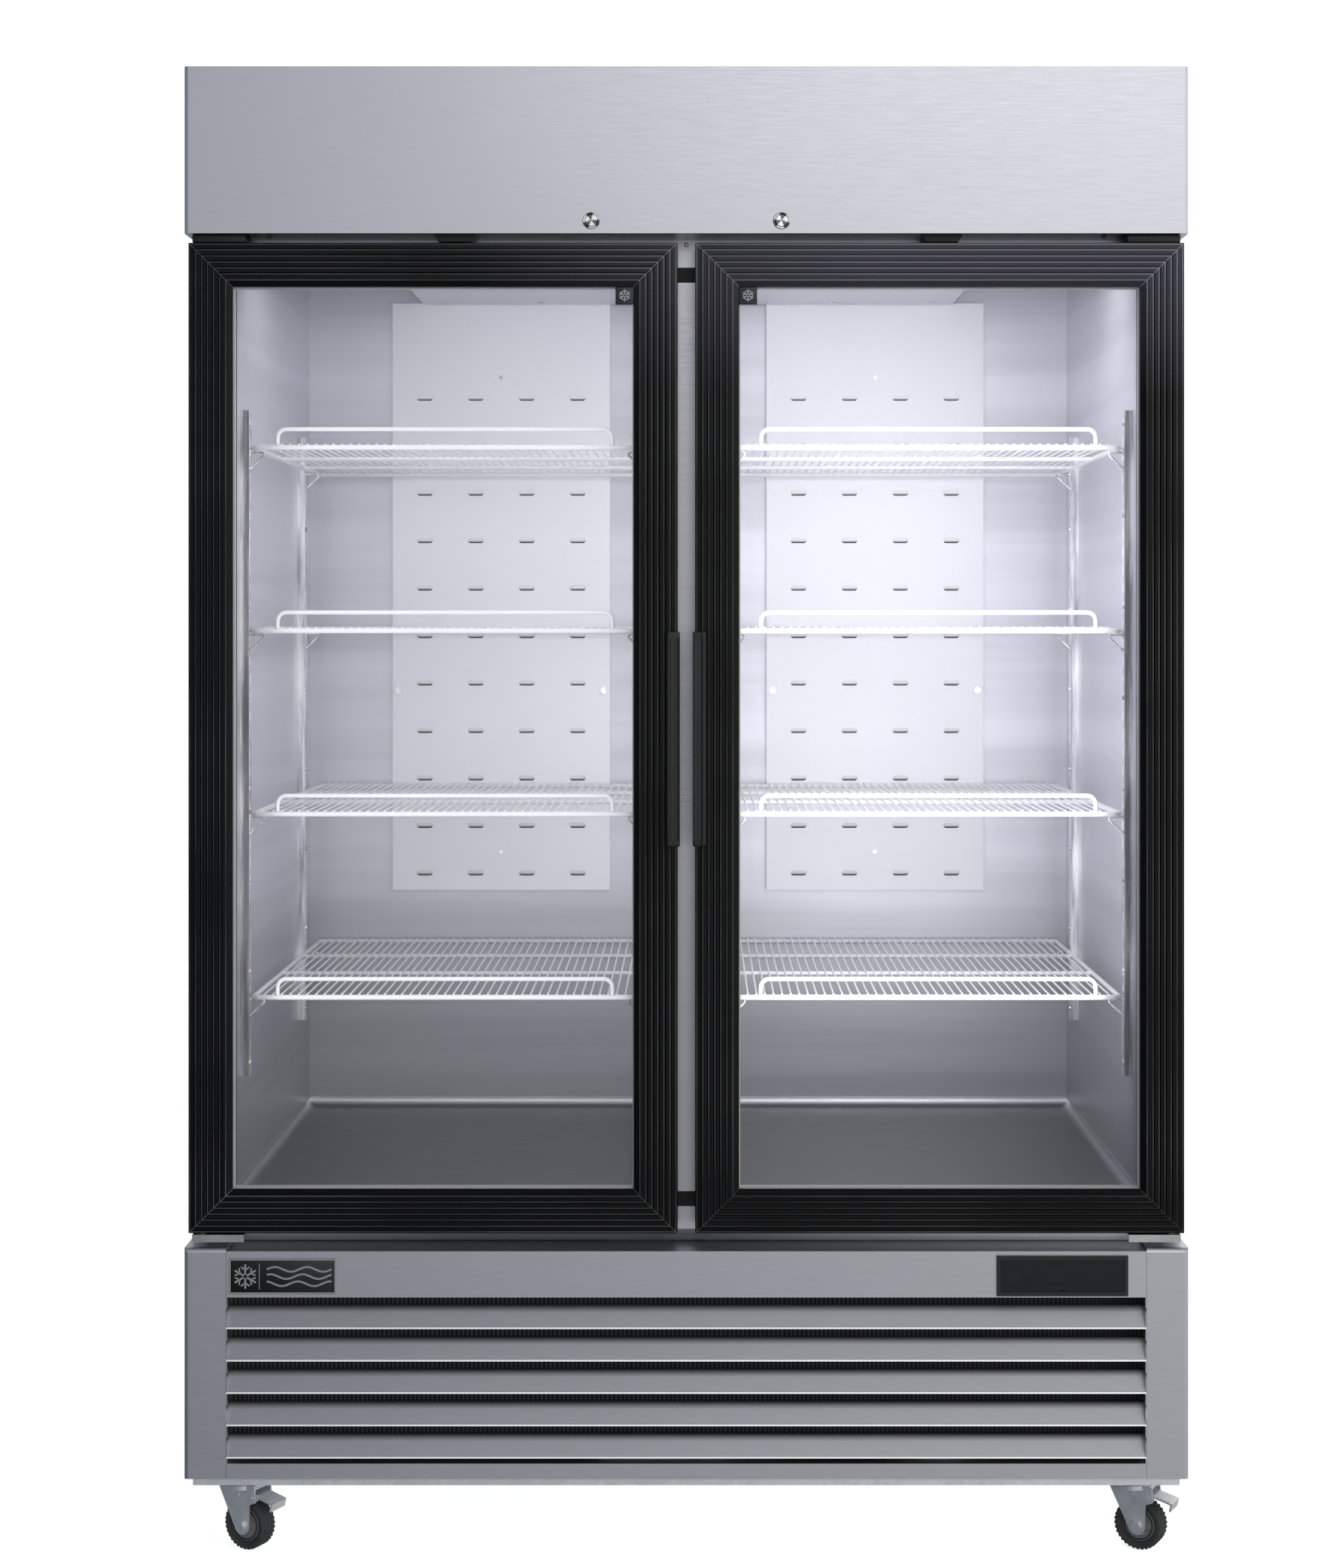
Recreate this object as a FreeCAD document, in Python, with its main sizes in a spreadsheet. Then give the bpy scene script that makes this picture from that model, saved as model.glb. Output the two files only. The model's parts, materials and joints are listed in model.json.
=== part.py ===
"""Two-door glass merchandiser refrigerator on casters.

Frame: +X to the right, +Y to the back, +Z up, origin on the floor under the middle of the
cabinet. The doors face -Y. Millimetres throughout.
"""
import FreeCAD, Part
import math
import os
import re
import Sketcher
from FreeCAD import Placement, Rotation, Vector

X_AXIS, Y_AXIS, Z_AXIS = Vector(1, 0, 0), Vector(0, 1, 0), Vector(0, 0, 1)
SIDES = {"left": -1, "right": 1}

DIMENSIONS = {
    # cabinet envelope; depths in front of the origin are stored as positive "front" values
    "cabinet_width": 1372, "cabinet_height": 2047, "front_depth": 396, "face_depth": 330, "back_depth": 404,
    "skin": 1.2, "deck_height": 430, "running_gap": 0.3, "running_fit": 0.05,
    # food compartment
    "inner_width": 1250, "liner_skin": 1, "floor_height": 490, "ceiling_height": 1985, "inner_back": 352,
    "beam_bottom": 1770, "beam_depth": 50, "floor_skin": 1.2, "cove_height": 16, "cove_radius": 12,
    "pan_slack": 0.4,
    # front face
    "breaker_half_width": 646, "breaker_low": 476, "breaker_high": 1781, "band_width": 21,
    "mullion_width": 100,
    # shelf standards and clips
    "standard_width": 22, "standard_depth": 12, "standard_skin": 1.5, "standard_low": 652,
    "standard_length": 933, "slot_pitch": 25.6, "slot_start": 24.85, "slot_width": 3.5, "slot_height": 12,
    "standard_front": 293, "standard_rear": 230, "standard_inner_x": 66,
    "clip_reach": 24, "clip_drop": 23, "clip_wire": 1.7, "clip_bend": 3, "hook_width": 2.8, "hook_height": 9,
    "hook_drop": 5, "hook_length": 5, "screw_radius": 3.6, "screw_head": 1.6,
    # shelves
    "shelf_top": 1532, "shelf_pitch": 256, "shelf_front": 313, "shelf_rear": 334, "shelf_outer": 609,
    "shelf_inner": 66, "rod_radius": 3.65, "cross_rod_radius": 3.3, "frame_bend": 8,
    "wire_radius": 1.4, "wire_pitch": 12, "weld_depth": 0.8,
    "guard_rise": 25.7, "guard_inset": 34, "guard_bend": 12, "guard_radius": 3,
    "cross_rod_front": 62, "cross_rod_rear": 141,
    # air ducts
    "duct_x": 308, "duct_width": 358, "duct_low": 848, "duct_high": 1815, "duct_depth": 10,
    "duct_slot_length": 26, "duct_slot_height": 8.6, "duct_column_pitch": 84, "duct_row_top": 1659,
    "duct_row_pitch": 78.3, "duct_rows": 11, "duct_skin": 1,
    "duct_screw_radius": 3, "duct_screw_low": 63, "duct_screw_high": 122, "duct_plug_head": 2.4,
    "duct_plug_x": 169, "duct_plug_height": 1177, "duct_plug_radius": 5.5,
    # evaporator under the ceiling
    "housing_width": 930, "housing_low": 1813, "housing_front": 200, "housing_back": 340, "housing_bevel": 30,
    "fan_hole_radius": 100, "fan_radius": 92, "fan_hub_radius": 24, "fan_depth": 26, "shaft_radius": 4,
    "fan_forward": 70, "fan_lift": 14, "fan_motor_radius": 38, "guard_ring_inner": 30, "guard_ring_pitch": 22,
    "guard_ring_wire": 1.2, "guard_bar_radius": 1.4, "coil_lift": 25, "coil_front": 80, "coil_back": 320,
    "coil_half_width": 380, "coil_bend": 12, "coil_tube": 4.8, "coil_pitch": 44,
    "housing_screw_far": 400, "housing_screw_near": 240,
    # condensing unit behind the grille
    "condenser_x": 330, "condenser_y": 230, "condenser_low": 135, "condenser_high": 395,
    "condenser_half_width": 210, "core_depth": 60, "shroud_depth": 70, "shroud_hole_radius": 112,
    "condenser_fan_radius": 105, "condenser_motor_radius": 40, "pipe_radius": 4, "pipe_bend": 24,
    "drier_radius": 11, "drier_length": 90, "compressor_x": 240, "compressor_y": 20,
    "compressor_radius": 88, "compressor_height": 165, "compressor_round": 42,
    # header and locks
    "header_low": 1819, "header_bend": 6, "lock_x": 130, "lock_height": 1836, "lock_bezel_radius": 11.75,
    "lock_body_radius": 9.5, "bezel_rise": 2, "plug_radius": 7.4, "plug_stand": 2.4, "lock_depth": 22,
    "keyhole_width": 9, "keyhole_height": 1.8, "cam_length": 38, "cam_width": 14, "cam_thickness": 2,
    "switch_left_x": 318, "switch_right_x": 351, "switch_width": 56, "switch_taper": 6, "switch_height": 9,
    "switch_depth": 40, "switch_front": 380,
    # doors
    "door_low": 452, "door_high": 1807, "door_outer": 681, "door_inner": 12, "door_front": 393,
    "door_thickness": 50, "rail_width": 60, "step_width": 9, "step_depth": 3, "rib_pitch": 8.2,
    "groove_width": 1.8, "groove_depth": 1.4, "bevel_width": 8, "bevel_depth": 7, "glass_front": 9,
    "glass_back": 31, "lip_thickness": 3, "lip_start": 46, "pane": 4, "spacer_width": 10, "spacer_show": 2,
    "gasket_inset": 18, "gasket_width": 24, "gasket_gap": 0.4,
    "handle_low": 982, "handle_high": 1275, "handle_width": 18, "handle_overhang": 3.6, "handle_stand": 13,
    "handle_wall": 3, "handle_cap": 8,
    # hinges
    "hinge_x": 665, "hinge_front": 371, "pin_radius": 4, "pin_engagement": 18, "bracket_inner": 605,
    "bracket_outer": 676, "bracket_front": 390, "bracket_thickness": 4, "bracket_drop": 6,
    "low_gap": 2, "top_gap": 4, "low_foot": 12, "top_foot": 16, "washer_radius": 8, "bracket_bolt_x": 636,
    # base
    "grille_half_width": 628, "grille_high": 429, "band_low": 366, "cover_low": 118, "sill_high": 139,
    "cover_high": 433, "cover_bend": 6, "louver_count": 5, "louver_low": 147, "louver_pitch": 44.2,
    "louver_height": 27, "louver_run": 18, "louver_roll": 1.5, "grille_fold": 20, "grille_flange": 30,
    "plate_x": 551, "plate_height": 395, "plate_width": 147, "plate_tall": 49, "plate_stand": 2.5,
    "plate_rim": 2, "plate_recess": 0.8,
    "control_x": 513, "control_height": 396, "bezel_width": 179, "bezel_tall": 55, "bezel_stand": 4,
    "window_width": 168, "window_tall": 42, "window_skin": 1.6, "rocker_x": 66, "rocker_width": 16,
    "rocker_tall": 14, "rocker_tilt": 8, "rocker_pivot": 6.5, "control_depth": 24, "flap_pin_radius": 0.7,
    "flap_notch": 4.5,
    "pan_low": 107, "pan_half_width": 675, "pan_front": 388, "pan_back": 396, "pan_skin": 1.5,
    "vent_width": 6, "vent_pitch": 18, "vent_height": 180, "vent_low": 180,
    "gland_x": 560, "gland_height": 200, "gland_radius": 9, "gland_bore": 4.5,
    # casters
    "caster_x": 620, "caster_front": 318, "caster_rear": 326, "caster_turn": -28, "trail": 14,
    "wheel_radius": 35, "wheel_width": 28, "hub_radius": 22, "fork_inner": 34, "fork_skin": 2.5,
    "fork_top": 92, "axle_radius": 4, "kingpin_radius": 6, "caster_plate": 90,
    "pedal_pivot_x": 30, "pedal_pivot_height": 76, "pedal_pin_radius": 2.5, "pedal_length": 40,
    "pedal_slope": 14,
    "caster_plate_skin": 4, "crown_skin": 6, "kingpin_low": 81, "axle_boss": 12, "rivet_radius": 3.2,
    "hub_boss": 9, "tyre_round": 6,
}

doc = FreeCAD.newDocument("glass_door_merchandiser")
sheet = doc.addObject("Spreadsheet::Sheet", "Dims")
for row, (alias, value) in enumerate(DIMENSIONS.items(), start=1):
    sheet.set(f"A{row}", alias)
    sheet.set(f"B{row}", str(value))
    sheet.setAlias(f"B{row}", alias)
doc.recompute()


# ---------------------------------------------------------------- helpers

def dim(alias):
    """A driving dimension, read back from the sheet."""
    return float(getattr(sheet, alias))


def bound(text):
    """An expression in which every alias points at its cell of the sheet."""
    return re.sub(r"[a-z][a-z_]*", lambda m: f"Dims.{m[0]}" if m[0] in DIMENSIONS else m[0], str(text))


def bind(thing, prop, text):
    thing.setExpression(prop, bound(text))


def mirrored(side, low, high):
    """A span on the right, or its mirror image on the left."""
    return (low, high) if side > 0 else (f"-({high})", f"-({low})")


def centred(width, middle="0"):
    return f"({middle}) - ({width}) / 2", f"({middle}) + ({width}) / 2"


def box(name, x, y, z):
    thing = doc.addObject("Part::Box", name)
    for prop, axis, (low, high) in (("Length", "x", x), ("Width", "y", y), ("Height", "z", z)):
        bind(thing, prop, f"({high}) - ({low})")
        bind(thing, f"Placement.Base.{axis}", low)
    return thing


def cylinder(name, radius, base, axis, length):
    """A cylinder from base, a tuple of three expressions, along the unit vector axis."""
    thing = doc.addObject("Part::Cylinder", name)
    thing.Placement = Placement(Vector(), Rotation(Z_AXIS, axis))
    bind(thing, "Radius", radius)
    bind(thing, "Height", length)
    for key, text in zip("xyz", base):
        bind(thing, f"Placement.Base.{key}", text)
    return thing


def group(name, members):
    """One node made of several pieces that stay separate solids."""
    thing = doc.addObject("Part::Compound", name)
    thing.Links = members
    return thing


def fuse(name, members):
    thing = doc.addObject("Part::MultiFuse", name)
    thing.Shapes = members
    return thing


def cut(name, base, *tools):
    thing = doc.addObject("Part::Cut", name)
    thing.Base = base
    thing.Tool = tools[0] if len(tools) == 1 else fuse(f"{name}_tools", list(tools))
    return thing


def fillet(name, base, radius, chosen):
    """Rounds the edges of base whose middle point satisfies the test."""
    doc.recompute()
    thing = doc.addObject("Part::Fillet", name)
    thing.Base = base
    middles = [edge.BoundBox.Center for edge in base.Shape.Edges]
    thing.Edges = [(i, radius, radius) for i, middle in enumerate(middles, start=1) if chosen(middle)]
    return thing


def feature(name, shape, placement=None):
    thing = doc.addObject("Part::Feature", name)
    thing.Shape = shape
    if placement is not None:
        thing.Placement = placement
    return thing


def copies(name, master, placements):
    """Placed copies of one piece, as separate solids."""
    doc.recompute()
    shape = master if isinstance(master, Part.Shape) else master.Shape
    return feature(name, Part.makeCompound([shape.transformed(p.toMatrix(), True) for p in placements]))


def sketch_on(body, name, plane, points):
    """A closed polygon whose corner distances are bound to the sheet."""
    sketch = body.newObject("Sketcher::SketchObject", name)
    origin_plane = [f for f in body.Origin.OriginFeatures if f.Role == plane][0]
    sketch.AttachmentSupport = (origin_plane, "")
    sketch.MapMode = "FlatFace"
    rough = [Vector(math.cos(a), math.sin(a), 0) * 50 for a in
             (2 * math.pi * i / len(points) for i in range(len(points)))]
    for i, start in enumerate(rough):
        sketch.addGeometry(Part.LineSegment(start, rough[(i + 1) % len(rough)]), False)
    for i in range(len(rough)):
        sketch.addConstraint(Sketcher.Constraint("Coincident", i, 2, (i + 1) % len(rough), 1))
    for i, corner in enumerate(points):
        for key, text in zip("XY", corner):
            index = sketch.addConstraint(Sketcher.Constraint(f"Distance{key}", -1, 1, i, 1, 1.0))
            sketch.renameConstraint(index, f"{key.lower()}{i}")
            bind(sketch, f"Constraints.{key.lower()}{i}", text)
    return sketch


def profile_body(name, plane, points, length, backwards=False):
    """A body with one pad of a polygon. XY pads along +Z, XZ along -Y and YZ along +X."""
    body = doc.addObject("PartDesign::Body", name)
    pad = body.newObject("PartDesign::Pad", f"{name}_pad")
    pad.Profile = sketch_on(body, f"{name}_profile", plane, points)
    pad.Reversed = backwards
    bind(pad, "Length", length)
    body.Tip = pad
    return body


def add_pocket(body, name, points, length):
    """Cuts a polygon, drawn in X and Z, along +Y out of the body, and stops if nothing is cut."""
    doc.recompute()
    before = body.Shape.Volume
    pocket = body.newObject("PartDesign::Pocket", name)
    pocket.Profile = sketch_on(body, f"{name}_profile", "XZ_Plane", points)
    bind(pocket, "Length", length)
    body.Tip = pocket
    doc.recompute()
    if body.Shape.Volume > before - 1:
        raise RuntimeError(f"{name} cuts nothing")
    return pocket


def move(thing, x="0", y="0", z="0"):
    for key, text in zip("xyz", (x, y, z)):
        bind(thing, f"Placement.Base.{key}", text)
    return thing


def bent_wire(points, bend, radius):
    """A round wire along straight runs joined by tangent arcs."""
    corners = [Vector(*p) for p in points]
    edges, start = [], corners[0]
    for before, corner, after in zip(corners, corners[1:], corners[2:]):
        into, out = (corner - before).normalize(), (after - corner).normalize()
        half_turn = into.getAngle(out) / 2
        reach = bend * math.tan(half_turn)
        first, last = corner - into * reach, corner + out * reach
        bulge = (out - into).normalize() * (bend / math.cos(half_turn) - bend)
        edges.append(Part.LineSegment(start, first).toShape())
        edges.append(Part.Arc(first, corner + bulge, last).toShape())
        start = last
    edges.append(Part.LineSegment(start, corners[-1]).toShape())
    heading = corners[1] - corners[0]
    section = Part.Wire(Part.Circle(corners[0], heading, radius).toShape())
    return Part.Wire(edges).makePipeShell([section], True, False)


def rod(start, end, radius):
    run = Vector(*end) - Vector(*start)
    return Part.makeCylinder(radius, run.Length, Vector(*start), run)


def hexagon(across, height, base, axis):
    """A bolt head or nut: a hexagonal prism from base along axis."""
    radius = across / math.sqrt(3)
    turns = [k * math.pi / 3 for k in range(7)]
    corners = [Vector(radius * math.cos(a), radius * math.sin(a), 0) for a in turns]
    prism = Part.Face(Part.makePolygon(corners)).extrude(Z_AXIS * height)
    return prism.transformed(Placement(base, Rotation(Z_AXIS, axis)).toMatrix(), True)


# ---------------------------------------------------------------- cabinet shell and insulation

HALF = "cabinet_width / 2"
INSIDE_SKIN = f"{HALF} - skin"
LINER_OUT = "inner_width / 2 + liner_skin"
FACE_BACK = "-face_depth + skin"
BEAM_BACK = "-face_depth + beam_depth"


def make_outer_wrapper():
    """Two side sheets and a top sheet."""
    depth = ("-face_depth", "back_depth")
    sheets = [box(f"{name}_sheet", mirrored(side, INSIDE_SKIN, HALF), depth, ("cover_low", "cabinet_height"))
              for name, side in SIDES.items()]
    sheets.append(box("top_sheet", centred(f"2 * ({INSIDE_SKIN})"), depth,
                      ("cabinet_height - skin", "cabinet_height")))
    return group("outer_wrapper", sheets)


def make_back_panel():
    return box("back_panel", centred(f"2 * ({INSIDE_SKIN})"), ("back_depth - skin", "back_depth"),
               ("deck_height", "cabinet_height - skin"))


def make_foam():
    """The foamed walls, as slabs, with the door beam and the core of the centre mullion."""
    across = centred(f"2 * ({LINER_OUT})")
    full_depth = (FACE_BACK, "back_depth - skin")
    full_height = ("deck_height", "cabinet_height - skin")
    before_back = (FACE_BACK, "inner_back + liner_skin")
    beam = (FACE_BACK, f"{BEAM_BACK} - liner_skin")
    slabs = [box(f"{name}_foam", mirrored(side, LINER_OUT, INSIDE_SKIN), full_depth, full_height)
             for name, side in SIDES.items()]
    slabs.append(box("back_foam", across, ("inner_back + liner_skin", "back_depth - skin"), full_height))
    slabs.append(box("top_foam", across, before_back,
                     ("ceiling_height + liner_skin", "cabinet_height - skin")))
    slabs.append(box("beam_foam", across, beam, ("beam_bottom + liner_skin", "ceiling_height + liner_skin")))
    slabs.append(box("bottom_foam", across, before_back, ("deck_height", "floor_height - liner_skin")))
    slabs.append(box("mullion_foam", centred("mullion_width - 2 * liner_skin"), beam,
                     ("floor_height + floor_skin", "beam_bottom")))
    return group("foam_insulation", slabs)


def make_inner_liner():
    """One folded liner: side walls, back, ceiling and the inside of the door beam."""
    across_out, across_in = centred(f"2 * ({LINER_OUT})"), centred("inner_width")
    block = box("liner_block", across_out, (FACE_BACK, "inner_back + liner_skin"),
                ("floor_height - liner_skin", "ceiling_height + liner_skin"))
    cavity = box("liner_cavity", across_in, (BEAM_BACK, "inner_back"), ("floor_height", "ceiling_height"))
    mouth = box("liner_mouth", across_in, ("-face_depth", BEAM_BACK), ("floor_height", "beam_bottom"))
    beam = box("liner_beam", centred(f"2 * ({LINER_OUT}) + 2"), ("-face_depth", f"{BEAM_BACK} - liner_skin"),
               ("beam_bottom + liner_skin", "ceiling_height + 2"))
    return cut("inner_liner", block, cavity, mouth, beam)


def make_floor_pan():
    """A floor pan whose side and back edges turn up through a cove."""
    slack = dim("pan_slack")
    top = "floor_height + cove_height"
    outer = box("pan_block", centred("inner_width - 2 * pan_slack"), (FACE_BACK, "inner_back - pan_slack"),
                ("floor_height", top))
    inner = box("pan_cavity", centred("inner_width - 2 * pan_slack - 2 * floor_skin"),
                ("-face_depth - 1", "inner_back - pan_slack - floor_skin"),
                ("floor_height + floor_skin", f"{top} + 1"))
    skin, floor = dim("floor_skin"), dim("floor_height")
    side_wall = dim("inner_width") / 2 - slack - 2 * skin
    back_wall = dim("inner_back") - slack - 2 * skin

    def low_edge(height):
        """Picks the two side edges and the back edge at one height."""
        def chosen(middle):
            return abs(middle.z - height) < 0.1 and (middle.y > back_wall or abs(middle.x) > side_wall)
        return chosen

    outer = fillet("pan_outside", outer, dim("cove_radius") + skin, low_edge(floor))
    inner = fillet("pan_inside", inner, dim("cove_radius"), low_edge(floor + skin))
    return cut("floor_pan", outer, inner)


def make_face_frame():
    """The front face sheet, and the sheet that wraps the centre mullion."""
    face = ("-face_depth", FACE_BACK)
    ring = cut("face_ring",
               box("face_sheet", centred(f"2 * ({INSIDE_SKIN})"), face,
                   ("deck_height", "cabinet_height - skin")),
               box("face_hole", centred("2 * breaker_half_width"), ("-face_depth - 1", f"{FACE_BACK} + 1"),
                   ("breaker_low", "breaker_high")))
    plate = box("mullion_plate", centred("mullion_width"), face,
                ("breaker_low + band_width", "breaker_high - band_width"))
    height = ("floor_height + floor_skin", "beam_bottom")
    wrap = cut("mullion_wrap", box("mullion_block", centred("mullion_width"), (FACE_BACK, BEAM_BACK), height),
               box("mullion_hollow", centred("mullion_width - 2 * liner_skin"),
                   (f"{FACE_BACK} - 1", f"{BEAM_BACK} - liner_skin"), ("floor_height", "beam_bottom + 1")))
    return group("face_frame", [ring, plate, wrap])


def make_breaker_strip():
    """The plastic band round the compartment's mouth that the door gaskets close near."""
    block = box("breaker_block", centred("2 * breaker_half_width"), ("-face_depth", FACE_BACK),
                ("breaker_low", "breaker_high"))
    hole = box("breaker_hole", centred("inner_width"), ("-face_depth - 1", f"{FACE_BACK} + 1"),
               ("breaker_low + band_width", "breaker_high - band_width"))
    return cut("breaker_strip", block, hole)


# ---------------------------------------------------------------- shelves and their supports

def standard_places():
    """Foot of each shelf standard, with the turn that faces its slots into the compartment."""
    half, width, depth = dim("inner_width") / 2, dim("standard_width") / 2, dim("standard_depth")
    front, rear, low = -dim("standard_front"), dim("standard_rear"), dim("standard_low")
    mullion, inner_x = dim("mullion_width") / 2, dim("standard_inner_x")
    places = []
    for y in (front, rear):
        places += [(Vector(-half, y + width, low), -90), (Vector(half, y - width, low), 90)]
    places += [(Vector(-mullion, front - width, low), 90), (Vector(mullion, front + width, low), -90)]
    places += [(Vector(x + width, dim("inner_back"), low), 180) for x in (-inner_x, inner_x)]
    return places


def make_pilasters():
    """Slotted channel standards screwed to the walls, all the same."""
    width, depth, skin = "standard_width", "standard_depth", "standard_skin"
    inside, floor = f"{width} - {skin}", f"{depth} - {skin}"
    channel = profile_body("standard", "XY_Plane", [
        ("0", "0"), ("0", depth), (width, depth), (width, "0"), (inside, "0"), (inside, floor), (skin, floor),
        (skin, "0")], "standard_length")
    left, right = centred("slot_width", "standard_width / 2")
    low, high = "slot_start", "slot_start + slot_height"
    slot = add_pocket(channel, "standard_slot", [(left, low), (right, low), (right, high), (left, high)],
                      f"{depth} + 1")
    pattern = channel.newObject("PartDesign::LinearPattern", "standard_slots")
    pattern.Originals = [slot]
    pattern.Direction = ([f for f in channel.Origin.OriginFeatures if f.Role == "Z_Axis"][0], [""])
    room = dim("standard_length") - dim("slot_start") - dim("slot_height")
    count = int(room // dim("slot_pitch")) + 1
    pattern.Occurrences = count
    bind(pattern, "Length", f"slot_pitch * {count - 1}")
    channel.Tip = pattern
    return copies("pilasters", channel,
                  [Placement(place, Rotation(Z_AXIS, turn)) for place, turn in standard_places()])


def shelf_heights():
    return [dim("shelf_top") - level * dim("shelf_pitch") for level in range(4)]


def make_shelf_clips():
    """Bent wire clips, four under each shelf, whose hook and strut both sit in slots of a standard."""
    reach, drop, wire = dim("clip_reach"), dim("clip_drop"), dim("clip_wire")
    arm = bent_wire([(0, 0, 0), (0, reach, 0), (0, 0, -drop)], dim("clip_bend"), wire)
    across, tall, low = dim("hook_width"), dim("hook_height"), dim("hook_drop")
    hook = Part.makeBox(across, dim("hook_length"), tall, Vector(-across / 2, 1 - dim("hook_length"), -low))
    clip = arm.fuse(hook)
    under_rod = dim("rod_radius") + wire
    half_width, depth = dim("standard_width") / 2, dim("standard_depth")
    places = []
    for height in shelf_heights():
        for foot, turn in standard_places():
            rotation = Rotation(Z_AXIS, turn)
            spot = foot + rotation.multVec(Vector(half_width, depth, 0))
            spot.z = height - under_rod
            places.append(Placement(spot, rotation))
    return copies("shelf_clips", clip, places)


def make_shelf_master():
    """A welded wire shelf of the right-hand side, with its frame's plane at z = 0, and its guard."""
    r, wire, pitch = dim("rod_radius"), dim("wire_radius"), dim("wire_pitch")
    low, high = dim("shelf_inner") + r, dim("shelf_outer") - r
    front, rear = -dim("shelf_front"), dim("shelf_rear")
    middle = (low + high) / 2
    halves = [bent_wire([(middle, front, 0), (x, front, 0), (x, rear, 0), (middle, rear, 0)],
                        dim("frame_bend"), r) for x in (low, high)]
    cross = [rod((low, y, 0), (high, y, 0), dim("cross_rod_radius"))
             for y in (-dim("cross_rod_front"), dim("cross_rod_rear"))]
    rise = r + wire - dim("weld_depth")
    inset = dim("frame_bend") - r
    count = int((high - low - 2 * inset - pitch) // pitch) + 1
    first = middle - (count - 1) * pitch / 2
    wires = [rod((first + k * pitch, front, rise), (first + k * pitch, rear, rise), wire)
             for k in range(count)]
    grid = halves[0].multiFuse(halves[1:] + cross + wires)
    left, right = low + dim("guard_inset"), high - dim("guard_inset")
    top = dim("guard_rise")
    guard = bent_wire([(left, front, r), (left, front, top), (right, front, top), (right, front, r)],
                      dim("guard_bend"), dim("guard_radius"))
    return Part.makeCompound([grid.Solids[0], guard])


def make_shelves():
    master = make_shelf_master()
    turned = master.mirror(Vector(), X_AXIS)
    shelves = []
    for level, height in enumerate(shelf_heights(), start=1):
        place = Placement(Vector(0, 0, height), Rotation())
        shelves.append(feature(f"shelf_left_{level}", turned, place))
        shelves.append(feature(f"shelf_right_{level}", master, place))
    return shelves


def make_air_ducts():
    """Shallow slotted covers that spread the cold air down the back wall."""
    skin, depth = dim("duct_skin"), dim("duct_depth")
    width, low, high = dim("duct_width"), dim("duct_low"), dim("duct_high")
    front = dim("inner_back") - depth
    shell = Part.makeBox(width, depth, high - low, Vector(-width / 2, front, low))
    shell = shell.cut(Part.makeBox(width - 2 * skin, depth, high - low - 2 * skin,
                                   Vector(-width / 2 + skin, front + skin, low + skin)))
    length, tall = dim("duct_slot_length"), dim("duct_slot_height")
    straight = (length - tall) / 2
    slots = []
    for column in (-1.5, -0.5, 0.5, 1.5):
        for row in range(int(dim("duct_rows"))):
            x, z = column * dim("duct_column_pitch"), dim("duct_row_top") - row * dim("duct_row_pitch")
            slots.append(Part.makeBox(2 * straight, 3, tall, Vector(x - straight, front - 1, z - tall / 2)))
            slots += [Part.makeCylinder(tall / 2, 3, Vector(x + s * straight, front - 1, z), Y_AXIS)
                      for s in (-1, 1)]
    slotted = shell.cut(slots)
    return copies("air_ducts", slotted.Solids[0],
                  [Placement(Vector(side * dim("duct_x"), 0, 0), Rotation()) for side in SIDES.values()])


def make_panel_screws():
    """Pan-head screws of the standards, ducts and evaporator housing, and the duct plugs."""
    radius, head = dim("screw_radius"), dim("screw_head")
    heads = []
    half_width, depth = dim("standard_width") / 2, dim("standard_depth")
    pitch = 5 * dim("slot_pitch")
    first = dim("standard_low") + dim("slot_start") - (dim("slot_pitch") - dim("slot_height")) / 2
    for foot, turn in standard_places():
        rotation = Rotation(Z_AXIS, turn)
        for k in range(int(dim("standard_length") // pitch) + 1):
            spot = foot + rotation.multVec(Vector(half_width, depth, 0))
            spot.z = first + k * pitch
            heads.append(Part.makeCylinder(radius, head, spot, rotation.multVec(Y_AXIS)))
    duct_face = dim("inner_back") - dim("duct_depth")
    for side in SIDES.values():
        x = side * dim("duct_x")
        for z in (dim("duct_low") + dim("duct_screw_low"), dim("duct_high") - dim("duct_screw_high")):
            heads.append(Part.makeCylinder(dim("duct_screw_radius"), head, Vector(x, duct_face, z), -Y_AXIS))
        for s in (-1, 1):
            spot = Vector(x + s * dim("duct_plug_x"), duct_face, dim("duct_plug_height"))
            heads.append(Part.makeCylinder(dim("duct_plug_radius"), dim("duct_plug_head"), spot, -Y_AXIS))
    for x in (-dim("housing_screw_far"), -dim("housing_screw_near"), dim("housing_screw_near"),
              dim("housing_screw_far")):
        for y in (30 - dim("housing_front"), dim("housing_back") - 30):
            heads.append(Part.makeCylinder(radius, head, Vector(x, y, dim("housing_low")), -Z_AXIS))
    return feature("panel_screws", Part.makeCompound(heads))


# ---------------------------------------------------------------- cooling system

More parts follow.
